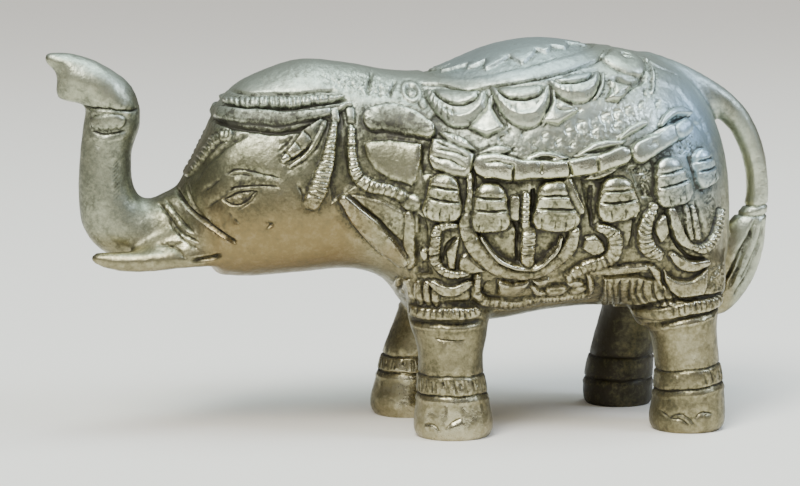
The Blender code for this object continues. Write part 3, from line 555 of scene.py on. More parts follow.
# %% Face and the root of the trunk
def face(flank):
    flank.groove([
        (-53.2, 54.2), (-51.9, 51.6), (-50, 49.2), (-47.4, 47.2), (-44.8, 45.5), (-41.4, 43.1),
    ], 0.7, 1.1)
    flank.groove([(-51.2, 55.4), (-50.4, 52.4), (-48.9, 49.4), (-47, 47.2)], 0.5, 0.4)
    flank.groove([(-55.5, 51.4), (-53.9, 49.3), (-52.2, 47.2), (-50.2, 45.2)], 0.5, 0.5)
    flank.groove([(-57.2, 50.8), (-55.4, 48.6), (-53.5, 46.2), (-51.4, 44.3), (-49, 43)], 0.5, 0.55)
    flank.groove([(-54.9, 47.2), (-54, 45.7), (-52.3, 43.6), (-49.6, 41.7)], 0.45, 0.5)
    flank.groove([(-56.2, 43), (-53.7, 41.5), (-52, 39.4)], 0.35, 0.4)
    for u, v in ((-53, 45.2), (-51.6, 43.7), (-53.9, 44.1), (-55.2, 46)):
        flank.groove([(u - 0.3, v + 0.25), (u, v), (u + 0.15, v - 0.35)], 0.5, 0.3)
    flank.groove([(-58, 42.6), (-55.4, 42.4), (-52.6, 42.9)], 0.4, 0.3)
    flank.groove([(-51, 39.2), (-47.4, 39.6), (-44.2, 40.2)], 0.9, 0.9)
    flank.groove([
        (-43.3, 57.9), (-42, 58.8), (-40.2, 59.1), (-38.1, 58.8), (-35, 58), (-32.4, 57.2),
    ], 0.3, 0.5)
    flank.groove([(-42.4, 57.7), (-40.4, 58), (-38.4, 57.9)], 0.26, 0.35)
    flank.groove([(-44.3, 52.6), (-42.8, 53.4), (-41, 54.3), (-38.9, 54.6), (-36.9, 54.5)], 0.29, 0.6)
    flank.groove([
        (-44.3, 52.6), (-42.8, 51.9), (-40.7, 51.8), (-39.1, 52.7), (-38, 53.9), (-37, 54.5),
    ], 0.29, 0.6)
    flank.groove([(-43.6, 51.4), (-41, 50.9), (-38.8, 51.9), (-37.6, 53.4)], 0.4, -0.12)
    flank.groove([(-42.9, 54.5), (-41.6, 55.3), (-39, 55.7), (-36.6, 55.7), (-32.6, 55.5)], 0.3, 0.55)
    flank.groove([(-47.1, 50.8), (-45.4, 52.3), (-43.2, 53.8)], 0.34, 0.4)
    flank.groove([(-41, 50.7), (-38.9, 52), (-37.7, 53.1), (-36.9, 54.4)], 0.32, 0.4)
    flank.groove([(-48.2, 54.1), (-46.3, 55.5), (-44.5, 56.9)], 0.34, 0.4)
    for u, v, long, wide, deep in (
        (-34.6, 47.8, 0.9, 0.7, 0.6), (-34.4, 47.2, -0.8, 0.5, 0.5), (-41.4, 48.2, 0.5, 0.3, 0.4),
        (-42.6, 49.6, 0.4, 0.25, 0.3),
    ):
        flank.groove([(u - long, v + 0.6), (u, v), (u + long, v - 0.7)], wide, deep)
    for shift in (0, 0.5):
        flank.groove([(-39.3 + shift, 42.2), (-38.6 + shift, 41.4), (-38 + shift, 40.5)], 0.2, 0.2)


# %% [markdown]
# ## The ear
#
# The ear lies flat behind three ropes that fan out under the brim, and a bolster and a
# panel of the harness sit over it. Ropes are rounded cords with cuts across them, about
# one millimetre apart, which is the width of the chisel.

# %% Ear and its ropes
def ear(flank):
    flank.sink([
        (-19.9, 71.8), (-17.7, 71.8), (-17.6, 62), (-17.3, 58.6), (-15.8, 55.2), (-18.2, 53.6),
        (-21.6, 51.4), (-21.8, 56), (-20.5, 61), (-19.7, 66),
    ], 0.75, 0.7)
    for u in (-19.9, -16.5):
        flank.pad(bow((u, 70.3), 1, 1.6, 0, 360, 0, 4), 0.5, 0.6)
    flank.groove([(-25.4, 65), (-27.1, 63.2), (-29.9, 60.8)], 0.45, 0.6)
    flank.groove([(-29, 66.2), (-30.6, 64.4), (-32.3, 62.9)], 0.4, 0.45)
    flank.groove([(-30.4, 65.1), (-32.2, 64.3)], 0.35, 0.3)
    flank.cord([
        (-31.2, 61), (-28.9, 63.2), (-26.4, 65.6), (-23.2, 68.4),
    ], (0.6, 1.2, 1.55, 1.2), 0.8, crest=0.3)
    for u, v in ((-30.2, 62), (-28.1, 64.1), (-25.8, 66.3)):
        flank.groove([(u - 1.1, v + 0.7), (u, v), (u + 0.7, v - 1.1)], 0.34, 0.55)
    flank.cord([(-22.3, 68.9), (-24.2, 65.1), (-26.9, 61.9), (-30, 59.6)], (0.6, 0.7, 0.5, 0.25), 0.6)
    flank.cord([
        (-20.4, 68.4), (-21, 64.8), (-21.9, 61.4), (-22.8, 58.3), (-24, 55.2), (-25.3, 52.4),
    ], (0.8, 1.15, 1.5, 1.8, 2.05, 1.95), 1.15, 1.12, 0.38, slant=0.25)
    flank.groove([(-28.6, 56), (-27.5, 53.8), (-27, 52.4)], 0.45, 0.45)


# %% Bolster, panel and straps
def harness(flank):
    flank.sink([(-2, 64.2), (0.4, 64.8), (0.8, 59.5), (-0.6, 58.2), (-2.2, 57.6), (-2.8, 61)], 0.7, 0.7)
    flank.groove([(-2.2, 59), (-0.8, 58.7), (0.6, 58)], 0.6, 0.6)
    flank.sink([
        (-3.4, 50.4), (-1.2, 48.4), (-0.8, 43.4), (-0.8, 40), (0.2, 36.4), (-3.4, 35.8), (-3.9, 40),
    ], 1.1, 0.8)
    flank.sink([(-22, 49.6), (-18, 50.4), (-7, 39.6), (-6.2, 36.6), (-12, 40.6), (-17.6, 44.4)], 0.55, 2)
    flank.pad(bow((-1.7, 40.8), 0.8, 1.4, 0, 360, 10), 0.4, 0.8)
    flank.pad([(-17.2, 53.5), (-14, 53.4), (-11, 52.6), (-7.9, 51.2), (-5.5, 49.9), (-5.1, 42.6)], 0.55, 1)
    flank.rough([(-16, 53), (-5.6, 49.4), (-5.4, 43.6)], 0.15, 1.4, 1)
    flank.cord([(-4.9, 49.4), (-4.8, 45.3), (-4.6, 41), (-4.4, 38.2)], (0.9, 1.15, 1.15, 0.9), 0.7)
    flank.cord([
        (-18.8, 52.4), (-15.4, 48.8), (-11.2, 44.6), (-7.2, 40.7), (-5.8, 39.4),
    ], (1.1, 1.9, 2.4, 2.2, 1.5), 1.5, crest=0.55)
    flank.pad(bow((-4.4, 52), 2.3, 1.9, 0, 360, -25), 0.8, 1.4)
    flank.pad([
        (-14, 64.7), (-8, 65.3), (-1.9, 64.4), (-2.6, 60), (-3.2, 56.8), (-4.2, 55.6), (-8.8, 56.6),
        (-12, 59), (-13.6, 61.5),
    ], 0.8, 1.6)
    flank.cord([
        (-11.3, 69.4), (-8, 69.5), (-4.5, 68.8), (-0.6, 67.2),
    ], (2.5, 2.8, 2.7, 1.7), 1.9, crest=0.5)
    flank.cord([
        (-16.7, 67.6), (-16.6, 64), (-16.5, 60.5), (-16, 58.2), (-14.5, 56.3), (-11.9, 55.2), (-8.8, 54.4),
        (-6.4, 53.4),
    ], (0.9, 1, 1.2, 1.4, 1.5, 1.4, 1.3), 1.15, 1.22, 0.55)


# %% [markdown]
# ## The saddle cloth's hem of scallops
#
# Half-round scallops hang from the saddle's edge. Each one is a fat crescent with a flat
# tongue inside it, parted by a groove. Fan-shaped tiles fill the points between them, and
# the ground under them is dotted with a ring punch. The scallops are one function and a
# short list of places.

# %% Scallops, tiles and punch marks
SCALLOPS = [
    # middle of the tongue's top, tongue half width and depth, crescent half width and depth, tilt
    ((6.4, 75.4), 4.7, 3.3, 6.3, 7.6, 0),
    ((19.6, 76.4), 4.8, 3.2, 6.2, 8.6, 3),
    ((31.4, 78.6), 4.4, 2, 5.9, 5.6, 9),
]
TILES = [
    # tip, left corner, bottom, right corner
    ((12.9, 74.2), (7.9, 67.7), (11.6, 66.1), (15.5, 67.9)),
    ((26.2, 74.6), (23.2, 69.2), (27, 68.4), (31.7, 71.6)),
    ((39.2, 77.4), (38.2, 73.4), (40.8, 73.2), (44.4, 76.2)),
]
PUNCHES = [
    # place, radius
    ((32.3, 68.2), 1.15), ((29.2, 67.4), 0.7), ((19.8, 66.9), 0.7), ((37.6, 69.9), 0.95),
    ((40.6, 70.5), 1.15), ((43.2, 71.3), 0.95), ((40.3, 68.4), 0.95), ((35.2, 66.9), 0.8),
    ((24, 66.2), 0.75), ((15, 65.6), 0.75), ((16.8, 67.2), 0.6), ((27, 65), 0.7),
    ((30, 64.4), 0.6), ((21.8, 64.4), 0.6), ((46.4, 72.4), 0.8), ((48, 75), 0.8),
    ((50.4, 72.6), 0.8), ((17.2, 63.4), 0.6),
]
SADDLE_EDGE = [
    (-0.8, 76.8), (4, 76.3), (8.4, 75.4), (13, 76.1), (17.2, 77), (23.8, 77.9),
    (27.2, 78.8), (31, 79.5), (36, 81), (39.3, 82.2), (42, 83.3),
]


def saddle_cloth(flank):
    flank.rough([
        (7, 69), (14, 66), (30, 68.5), (38, 73), (50, 77), (52, 70), (40, 65), (26, 61.6), (10, 62),
    ], 0.12, 1.5, 1.5)
    flank.rough([(46, 80), (58, 80), (64, 70), (65, 56), (60, 66), (50, 70), (44, 72)], 0.08, 1.6, 2)
    for centre, radius in PUNCHES:
        flank.groove(bow(centre, radius * 0.6, radius * 0.6, 20, 340), 0.75 * radius, 0.2)
        flank.groove(bow(centre, radius, radius, 60, 250), 0.3, 0.4)
    for (u, v), rise in (((0.7, 74.4), 0.5), ((1.8, 71.6), 0.4), ((-0.8, 72.8), 0.3)):
        flank.pad(bow((u, v), 0.9, 1.3, 0, 360, 10), rise, 0.8)
    for points, half, depth in (
        ([(-10.5, 79.2), (-11.7, 76.8), (-12.6, 74.4)], 0.55, 0.7),
        ([(-9.4, 77), (-9.9, 73.8)], 0.35, 0.35),
        ([(-5.8, 77.4), (-7.1, 75.5), (-7.7, 74)], 0.5, 0.6),
        ([(-8.4, 75), (-7.8, 74)], 0.6, 0.5),
    ):
        flank.groove(points, half, depth)
    flank.cord(bow((-2.9, 75.2), 1.7, 1.7, 0, 360), 0.45, 0.2)
    flank.groove(bow((-2.9, 75.2), 0.9, 0.9, 20, 340), 0.3, 0.35)
    for middle, tongue, drop, half, depth, tilt in SCALLOPS:
        flank.pad(bow(middle, half, depth, 180, 360, tilt), 1.3, 2.6)
        flank.groove(bow(middle, half * 0.86, (drop + depth) * 0.52, 195, 345, tilt), 0.9, -0.35)
        flank.groove(bow(middle, tongue, drop, 180, 360, tilt), 0.5, 1)
        for k in range(6):
            a = math.radians(192 + 13 * k)
            inner = (middle[0] + tongue * 1.12 * math.cos(a), middle[1] + drop * 1.25 * math.sin(a))
            outer = (middle[0] + half * 0.96 * math.cos(a), middle[1] + depth * 0.92 * math.sin(a))
            flank.groove([inner, outer], 0.3, 0.34 if tilt == 0 else 0.12)
        flank.cord(bow(middle, half + 0.75, depth + 0.5, 300, 352, tilt), (0.2, 0.4, 0.35), 0.5)
    for tip, left, bottom, right in TILES:
        swell = []
        for corner, way in ((right, -1), (left, 1)):
            u, v = 0.62 * np.array(tip) + 0.38 * np.array(corner)
            swell.append((u + 0.7 * way, v))
        flank.pad([tip, swell[0], right, bottom, left, swell[1]], 0.95, 1.6)
        flank.groove([left, (bottom[0], bottom[1] + 0.9), right], 0.9, -0.3)
        flank.groove([
            (tip[0] + 0.6, tip[1] - 0.6), (tip[0] + 1.2, tip[1] - 3.2), (right[0] + 0.7, right[1] + 0.3),
        ], 0.4, 0.5)
    flank.groove([(40.6, 77.8), (43.5, 77), (46.2, 77.1), (48.6, 78.6)], 0.85, 0.9)
    flank.groove(SADDLE_EDGE, 0.42, 0.7)


print(len(SCALLOPS), "scallops,", len(TILES), "tiles,", len(PUNCHES), "punch marks")


# %% [markdown]
# ## The garland and its bells
#
# A swag of fat beads crosses the flank, so tight that they read as one tube with notches.
# The bells under it are domes that widen to the mouth, with two turned lines and a few
# slits. One function shapes any bell in its own small frame, then leans it.

# %% Bow and garland
def garland(flank):
    flank.pad([
        (0.3, 65.6), (3, 65.6), (6.4, 64.4), (8.9, 62.4), (8.4, 59.6), (6.8, 57.6), (3.4, 57.8), (0, 59.4),
        (-0.9, 61.6),
    ], 0.95, 1.4)
    flank.pad(leaf((1.5, 67), (9.3, 63.2), 1.05), 1.2, 0.9)
    for route in (
        [(1.3, 63.3), (4.6, 62.7), (7.5, 61.5)],
        [(-0.3, 62), (3.4, 61), (6.8, 59.5)],
        [(1.2, 64.9), (2.4, 64.2), (3.6, 63.6)],
    ):
        flank.groove(route, 0.32, 0.55)
    flank.ticks((3, 66.9), (8.2, 64.6), 5, 1.3, 0.26, 0.3, 0.4)
    flank.pad(leaf((9.4, 62.6), (16.6, 63.4), 1.2), 0.5, 1)
    for tip, root, half in (((18.2, 61.2), (28.8, 61.7), 1.5), ((30, 61.6), (41.8, 64.9), 1.7)):
        flank.pad(leaf(tip, root, half), 0.9, 1)
    flank.cord([(40.4, 65.4), (42.8, 67), (46.4, 68.5)], (0.4, 0.8, 0.5), 0.7)
    flank.cord([(50.2, 68.2), (52.2, 69.9), (54.8, 70.7), (57.6, 70.2)], (0.6, 0.9, 0.9, 0.5), 0.8)
    flank.cord([
        (11.3, 59.9), (14, 59.7), (18, 59.1), (22.5, 59.1), (28.5, 59.2), (34.5, 60.1), (40, 61.6),
    ], (2.7, 2.6, 2, 1.9, 1.9, 1.95, 2.1), 1.9, crest=0.25)
    flank.sink(leaf((20.4, 61.4), (26.8, 61.6), 0.55), 1, 0.4)
    flank.sink(leaf((31, 61.9), (40.6, 64.3), 0.65), 1, 0.4)
    flank.sink(leaf((16.5, 55.9), (17.1, 60.6), 0.55), 1.5, 0.5)
    flank.groove([(22.5, 60.5), (22.7, 58)], 0.45, 0.8)
    flank.sink([(28, 61.3), (28.9, 60.5), (29.8, 57.6), (28.3, 57.4)], 1.7, 0.6)
    flank.groove([(34.8, 61.7), (35, 60), (35.2, 58.2)], 0.55, 1.1)
    flank.cord([(44.7, 62.4), (48, 64.1), (51.2, 65.6)], (2.3, 2.35, 2.1), 1.9, crest=0.2)
    flank.sink(leaf((44.6, 65), (50.4, 66.9), 0.6), 0.8, 0.5)
    flank.groove([(46.9, 63.6), (47.7, 64.2), (48.3, 63.4)], 0.35, 0.35)
    flank.cord([(54.2, 66.5), (55.9, 67.3)], 1.75, 1.7)
    flank.sink(leaf((51.6, 68.2), (57.4, 69.8), 0.5), 0.9, 0.4)
    flank.groove([(11, 60.5), (14, 60.6), (17, 60.2)], 0.34, 0.55)
    flank.rough([(53.4, 65.2), (57.8, 64.8), (58.2, 61.2), (53.6, 61.4)], 0.35, 1.3, 0.6)
    flank.groove([(58.6, 68.4), (60, 67.6), (60.8, 66.2)], 0.7, 0.5)


# %% Bells
BELLS = [
    # middle of the mouth, half width, height, lean in degrees, places of the slits across the mouth
    ((1.7, 48.1), 4.1, 10.2, -5, (-0.72, -0.38, -0.05, 0.4)),
    ((11.9, 45.8), 4.3, 10.6, 0, (-0.55, 0.5)),
    ((26, 45.9), 5.3, 11, 0, (-0.62, -0.06, 0.36, 0.74)),
    ((39.9, 47.8), 4.8, 9.6, 5, (-0.38, 0.1, 0.26, 0.66)),
    ((52.9, 50.7), 4.3, 10.8, 12, (-0.4, 0.12, 0.45, 0.8)),
    ((61.2, 54.4), 3, 8.4, 14, (-0.3, 0.3)),
]


def bell(flank, mouth, half, height, lean, slits):
    """A bell: a dome that widens to the mouth, with two turned lines and slits."""
    turn = math.radians(lean)

    def at(u, v):
        u, v = u * half, v * height
        return (
            mouth[0] + u * math.cos(turn) - v * math.sin(turn),
            mouth[1] + u * math.sin(turn) + v * math.cos(turn),
        )

    side = [
        (0, 1), (0.4, 0.98), (0.68, 0.88), (0.82, 0.7), (0.88, 0.5), (1, 0.34), (0.98, 0.17), (0.8, 0.04),
        (0.4, -0.01),
    ]
    flank.pad([at(u, v) for u, v in side] + [at(-u, v) for u, v in side[:0:-1]], 1.75, 2.2)
    for v in (0.69, 0.44):
        flank.groove([at(-0.82, v + 0.02), at(0, v), at(0.82, v + 0.01)], 0.38, 0.65)
        flank.groove([at(-0.8, v - 0.045), at(0, v - 0.065), at(0.8, v - 0.055)], 0.4, -0.22)
    for k, u in enumerate(slits):
        long = 0.24 + 0.07 * math.sin(2.7 * k + mouth[0])
        flank.groove([at(u, long), at(u * 1.01, long / 2), at(u * 0.98, 0.03)], 0.3, 0.5)


def flank_bells(flank):
    flank.sink([(31, 57.4), (36.8, 56.8), (34.3, 46.4), (33.3, 46.4)], 1.3, 0.9)
    flank.rough([(31.6, 55), (36, 54.8), (34.2, 47)], 0.3, 1.3, 0.7)
    flank.rough([(41.6, 59.6), (48.6, 61.4), (48.9, 52.4), (44.8, 52.6)], 0.4, 1.5, 0.8)
    flank.sink([(41.6, 59.6), (48.6, 61.4), (48.9, 52.4), (44.8, 52.6)], 0.75, 1)
    flank.groove([(56.4, 61.6), (57.6, 58), (58.8, 55.4), (59.7, 53.4)], 0.7, 0.9)
    flank.pad(leaf((32.2, 57), (40.8, 60), 1.2), 0.45, 1)
    for place in BELLS:
        bell(flank, *place)
    flank.cord([(28.5, 56.6), (29.8, 53.4), (31.3, 50.4)], (0.9, 1.2, 1), 0.9)
    flank.pad(bow((17.1, 51), 1.1, 2.7, 0, 360, 0, 4), 0.55, 0.7)
    flank.sink([(20.4, 55), (21.7, 55.4), (21.4, 50), (20.5, 49.4)], 1.2, 0.4)
    flank.sink([(16.2, 48.2), (18.4, 48.4), (18.3, 38.4), (17.5, 38.8), (17.2, 45.6)], 1.2, 0.5)
    flank.sink([(8, 61.6), (9.1, 60.6), (9, 55), (8.3, 53.2), (7.9, 55.5)], 1.2, 0.45)


print(len(BELLS), "bells on each flank")

# %% [markdown]
# ## Medallion, curls and tassels
#
# Under the middle bells hangs a ring with a ribbed spoke, and curled leaves fill the space
# down to the hem. They are the same cords and pads again, only bent round.

# %% Medallion and what lies under it
def medallion(flank):
    flank.sink(bow((18.4, 46.6), 9.6, 9.2, 180, 360), 0.55, 1.6)
    flank.cord([
        (7.6, 58), (7.9, 54), (7.2, 50.4), (7, 47.4), (7.7, 44.6), (9.4, 41.6), (11.8, 39.2), (15, 37.2),
        (19, 36.5), (23.4, 37.2), (26.8, 39.4), (29.2, 42.4), (30.2, 45.6),
    ], (0.8, 0.9, 1.2, 1.7, 1.9, 1.8, 1.5, 1.25, 1.15, 1.25, 1.5, 1.6, 1.3), 1.15, 2.7, 0.3)
    flank.cord([
        (10, 45), (11.6, 42.3), (13.7, 40.1), (16.4, 38.6), (19, 38), (22, 38.2), (24.6, 39.9),
        (26.4, 42.2), (27.2, 44.6),
    ], (0.35, 0.5, 0.55, 0.5, 0.45, 0.5, 0.55, 0.35), 1.45)
    flank.groove([(25, 40.8), (26.6, 43), (27.6, 45)], 0.7, 0.6)
    flank.cord([(19.4, 53.6), (19.4, 50), (19.4, 47.2)], (0.9, 1, 1), 0.9, 1, 0.5)
    flank.cord([(20.1, 45.6), (20.2, 42), (20.2, 39.4)], 1.55, 0.85, 0.95, 0.5)


def scrolls(flank):
    flank.cord([
        (9.7, 35.8), (9.6, 32.6), (11.8, 30.2), (15.4, 29.3), (19.8, 29), (24.2, 29.9),
    ], (0.8, 1.1, 1.1, 0.9), 0.85, 1.1, 0.4)
    flank.pad([(14.2, 35), (17.5, 34.4), (21.2, 35), (20.4, 32.6), (17.4, 31.1), (14.2, 31.6)], 0.9, 1.5)
    flank.groove([(14.6, 34.4), (17.6, 33.8), (20.8, 34.4)], 0.6, -0.25)
    flank.groove(bow((12.2, 33.2), 1.2, 1.5, 60, 300), 0.35, 0.5)
    flank.pad([(21.7, 34.9), (23.1, 33.4), (24.9, 33.8), (25.6, 35.2)], 0.7, 0.8)
    flank.cord([(22.2, 33.2), (23.4, 31.8), (25, 31.4)], 0.6, 0.6)
    flank.pad(bow((27.6, 32.2), 2.3, 1.3, 0, 360, 8), 0.8, 1.2)
    flank.groove([(25.9, 32.4), (27.6, 32.7), (29.3, 32.6)], 0.3, 0.35)
    flank.pad(leaf((29.4, 34), (33.6, 33.6), 0.9), 0.75, 0.8)
    flank.pad(leaf((30.6, 31.4), (34.6, 32.8), 0.9), 0.7, 0.8)
    flank.cord([(25, 30), (30, 29.9), (35.6, 30.6)], (0.6, 0.8, 0.6), 0.7, 0.8, 0.45)
    flank.cord([(34.2, 35.6), (35.2, 33.2), (35.4, 31)], (0.5, 0.8, 0.5), 0.7)


# %% Curled leaves and tassels
def curls(flank):
    flank.cord([
        (4.6, 47.2), (2.4, 47.2), (0.7, 46.2), (0.5, 44), (0.4, 41.4), (0.8, 39), (2.4, 37.2), (5.2, 36.6),
        (8, 37.2),
    ], (0.7, 1, 1.15, 1.15, 1.1, 1, 1, 0.7), 1.1, 1.08, 0.5)
    flank.groove([(1.9, 38.8), (2.4, 41.7), (3, 43.3), (4.8, 44.8)], 0.5, 0.6)
    flank.pad([(2.8, 41.6), (4, 43.8), (5.4, 44.6), (5, 41.8), (4.8, 37.8), (3.4, 37.8)], 0.9, 1.1)
    flank.pad([(5.4, 37.6), (5.8, 40.8), (7, 41.4), (9.4, 39), (11.6, 37.2), (8.4, 36.6)], 0.8, 1.2)
    flank.cord([(0.2, 34.6), (2.4, 33.2), (4.8, 33), (7.6, 34.4)], (0.7, 1.2, 1.2, 0.7), 1, crest=0.4)
    flank.sink([(8.2, 36.2), (9, 36.6), (9, 30.2), (8.2, 30.2)], 0.9, 0.5)
    flank.cord([
        (35.4, 46.6), (37.2, 46), (38.9, 44.4), (39.4, 42.3), (38.7, 40), (36.5, 38.5), (33.9, 38.1),
        (31.7, 36.9), (29.8, 35.6),
    ], (0.9, 1.4, 1.7, 1.7, 1.5, 1.35, 1.2, 1), 1.2, 1.15, 0.45)
    flank.pad([
        (32.7, 44.4), (34.9, 44.9), (36.6, 43.4), (37.2, 41.4), (36, 40.6), (34.3, 40.3), (31.9, 42),
    ], 0.9, 1.3)
    flank.groove([(33.2, 43.9), (35, 44), (36.2, 42.8)], 0.5, -0.2)
    flank.sink([(43, 49.4), (44.6, 50), (43.6, 45), (43.4, 41), (42, 42)], 0.9, 0.9)
    flank.cord([
        (47.6, 50.6), (46.2, 48), (45.6, 45.6), (45.9, 43.2), (47.1, 41.2), (49.4, 40.1),
    ], (0.8, 1.4, 1.7, 1.8, 1.7, 1.1), 1.3, 1.15, 0.6, slant=-0.35)
    flank.pad(bow((47.5, 50.9), 1, 0.9, 0, 360), 1.2, 0.8)
    flank.pad(leaf((50, 49.2), (49.4, 42.6), 1.8), 0.9, 1.3)
    flank.cord([
        (51.4, 49.6), (52.6, 46.4), (54.2, 43.4), (56.4, 41.6),
    ], (0.9, 1.4, 1.3, 0.8), 1.2, crest=0.3)
    flank.groove([(50.3, 49.6), (51.2, 46.4), (52.8, 43), (55, 40.2), (57.6, 38.8), (61, 38.8)], 0.6, 0.9)
    for u, v in ((55.2, 50.6), (56.9, 50.2)):
        flank.cord([(u, v), (u + 0.6, 46.6), (u + 1.4, 43.4)], (0.5, 0.7, 0.6), 0.6, 0.9, 0.25)
    flank.groove([(58, 52), (58.9, 48), (60.2, 43.6)], 0.65, 0.9)
    flank.cord([
        (57.2, 41.4), (59.4, 40.9), (61.8, 41.8), (63.8, 44.6), (65.2, 48.4),
    ], (0.8, 1.1, 1.2, 1.1, 0.8), 1.1, 1, 0.5)
    flank.rough([(59.4, 52.6), (64, 53), (64.6, 46.4), (61.2, 43.6)], 0.2, 1.5, 1)
    flank.cord([(52.2, 40), (54.4, 38), (57, 37.2), (60.2, 37.6)], (0.7, 1.2, 1.3, 0.9), 1, crest=0.4)
    flank.pad([
        (50.9, 36.6), (51.8, 35.2), (54.4, 34.3), (57.2, 34.4), (59.6, 35.6), (61, 36.8), (60.9, 32.6),
        (59.8, 30.6), (57.2, 29.7), (54.6, 30.2), (52.4, 31.8), (51.2, 33.8),
    ], 1.1, 2)
    flank.groove([(52.2, 34.2), (55.4, 33.4), (59.8, 34.6)], 0.7, -0.2)
    flank.ticks((53.4, 32), (59.6, 31.8), 5, 1.3, 0.26, 0.28, 0.2)
    flank.pad([
        (46.6, 38.2), (48.6, 37.8), (50, 36.6), (50.6, 34), (51.2, 31.4), (49.6, 33.6), (48, 36),
    ], 0.9, 1.1)
    flank.rough([(61.6, 37.6), (66.4, 37.6), (66.4, 30.8), (61.8, 30.8)], 0.25, 1.4, 0.8)


# %% [markdown]
# ## Fringe and leg bands
#
# The cloth ends in a fringe of upright flutes under a rolled edge. Each leg has a ticked
# garter, a plain shin, and an anklet band. Bands go all the way round, so each leg gets
# its own skin, unrolled from the angle round its middle line.

# %% Fringe, garters and toenails
def fringe(flank):
    flutes = [(-5.8, 0.55), (-4.2, 0.75), (-2.5, 0.75), (-0.9, 0.7), (0.7, 0.75)]
    for u, half in flutes:
        flank.cord([(u, 34.6), (u, 32.4), (u, 30.2)], (0.7 * half, half, half), 0.8)
    flank.pad([(37.8, 35), (45, 35.2), (50, 34), (52.6, 31.6), (54, 28.4), (46, 28), (39, 27.6)], 0.7, 1)
    for u, half in (
        (39.3, 0.3), (40.7, 0.26), (42.1, 0.36), (44.3, 0.42), (45.8, 0.28), (47.2, 0.36), (49.3, 0.42),
        (51.1, 0.3),
    ):
        flank.groove([(u - 0.7, 34.8 - 0.12 * half), (u, 31.3), (u + 1.5, 28)], half, 0.35 + 0.6 * half)
    flank.cord([(35, 36.6), (39.6, 36.9), (44, 37), (46.8, 37.4)], (0.7, 0.9, 0.9, 0.6), 0.85, crest=0.4)
    flank.groove([(37.6, 35.4), (42, 35.6), (48, 35.4)], 0.4, 0.6)


def garters(flank):
    flank.groove([(-6, 30.2), (2.5, 29.9), (11, 30.2)], 1.1, 0.9)
    flank.groove([(-6, 26), (2.5, 25.7), (11.6, 26)], 0.8, 0.8)
    flank.cord([(-5.4, 28), (2.5, 27.8), (9.6, 28)], (1.1, 1.3, 1.2), 0.65)
    flank.ticks((-5.6, 29.1), (9.8, 29.1), 13, 2.3, 0.33, 0.6, 0.1)
    flank.groove([(-5, 24.6), (2.5, 24.4), (11.6, 24.6)], 0.7, -0.25)
    flank.groove([(0.8, 22.3), (3.8, 22.1), (7.2, 22)], 0.3, 0.45)
    flank.groove([(46, 27.6), (49, 28.6), (52.5, 29.7), (58.5, 30.1), (66, 30.4)], 0.8, 0.9)
    flank.groove([(47.6, 23.4), (49.8, 24), (53, 24.8), (57, 25.8), (65, 27.2)], 0.7, 0.8)
    flank.cord([
        (43.2, 27.4), (46.4, 26.3), (50, 26.5), (53.6, 27.2), (57.6, 27.9), (65, 28.8),
    ], (0.4, 1, 1.4, 1.45, 1.4, 1.2), 0.7)
    flank.ticks((52.6, 28.4), (66, 30.5), 11, 2.6, 0.33, 0.58, 0.15)
    flank.groove([(48.6, 22.4), (53, 23.5), (57, 24.4), (64, 25.8)], 0.7, -0.3)
    for u, v in (
        (50.9, 20.6), (52.2, 21), (52.4, 18.9), (53.4, 16.4), (51.6, 22.2), (-0.9, 18.6), (0.6, 24.2),
        (-1.6, 22.8),
    ):
        flank.groove([(u - 0.1, v), (u, v), (u + 0.1, v)], 0.35, 0.25)
    nails = [
        [(-1, 3.6), (0.6, 3.5), (1.8, 2.1)],
        [(2.9, 2.9), (4, 4.3), (6.2, 5.2)],
        [(51.4, 4.8), (52.9, 3.5)],
        [(52.9, 3.1), (54, 4.2), (55.6, 4.4), (57, 3.7), (58.2, 2.2)],
        [(53.3, 3.2), (55.2, 3.5), (56.9, 2.1)],
        [(58.3, 3.7), (59.9, 4.9), (62.4, 4.2)],
    ]
    for nail in nails:
        flank.groove(nail, 0.28, 0.45)


# %% Anklets, unrolled round each leg
ANKLETS = {
    # bottom and top of the band, its rise toward the tail, how far round from the tail side it is notched
    "front left": (9.9, 13.8, 0, 30),
    "front right": (10.3, 13.6, 0, 30),
    "hind left": (10.1, 14, 0.9, 10.5),
    "hind right": (6.4, 11.4, 0, 0),
}


def anklets(points):
    rings = []
    for name, stations in LEGS.items():
        rows = through(stations, 6)[::-1]
        middle_x = np.interp(points[:, 2], rows[:, 2], rows[:, 0])
        middle_y = np.interp(points[:, 2], rows[:, 2], rows[:, 1])
        radius = np.interp(points[:, 2], rows[:, 2], rows[:, 3])
        off_x, off_y = points[:, 0] - middle_x, points[:, 1] - middle_y
        close = (points[:, 2] < 20) & (np.hypot(off_x, off_y) < radius + 3)
        low, high, tilt, notched = ANKLETS[name]
        skin = Skin(
            np.arctan2(off_y, off_x) * radius, points[:, 2] - tilt * off_x / radius, close.astype(float),
        )
        middle = (low + high) / 2
        skin.cord([(-40, middle), (0, middle), (40, middle)], (high - low) / 2 - 0.1, 0.22)
        for v, half, depth in ((low - 0.2, 0.34, 0.42), (high + 0.2, 0.3, 0.32), (low - 1.4, 0.8, -0.2)):
            skin.groove([(-40, v), (0, v), (40, v)], half, depth)
        for k in range(40):
            u = -28 + 1.4 * k + 0.3 * math.sin(3.7 * k)
            foot = low + 0.4 if k % 3 else middle - 0.2
            notch = [(u, high - 0.5), (u + 0.1, middle), (u, foot)]
            if abs(u) < notched:
                skin.groove(notch, 0.34, 0.45 + 0.18 * math.sin(2.3 * k))
        rings.append(skin)
    return rings


print("anklets from", min(row[0] for row in ANKLETS.values()), "mm up")

# %% [markdown]
# ## Trunk, saddle top and tail
#
# The saddle's top is read from above: a ring of petals like a lotus, with the points
# between them cut away, and a round lobe behind it. The trunk wears a band with an oval
# on each side, and the tail's tuft is cut into locks.

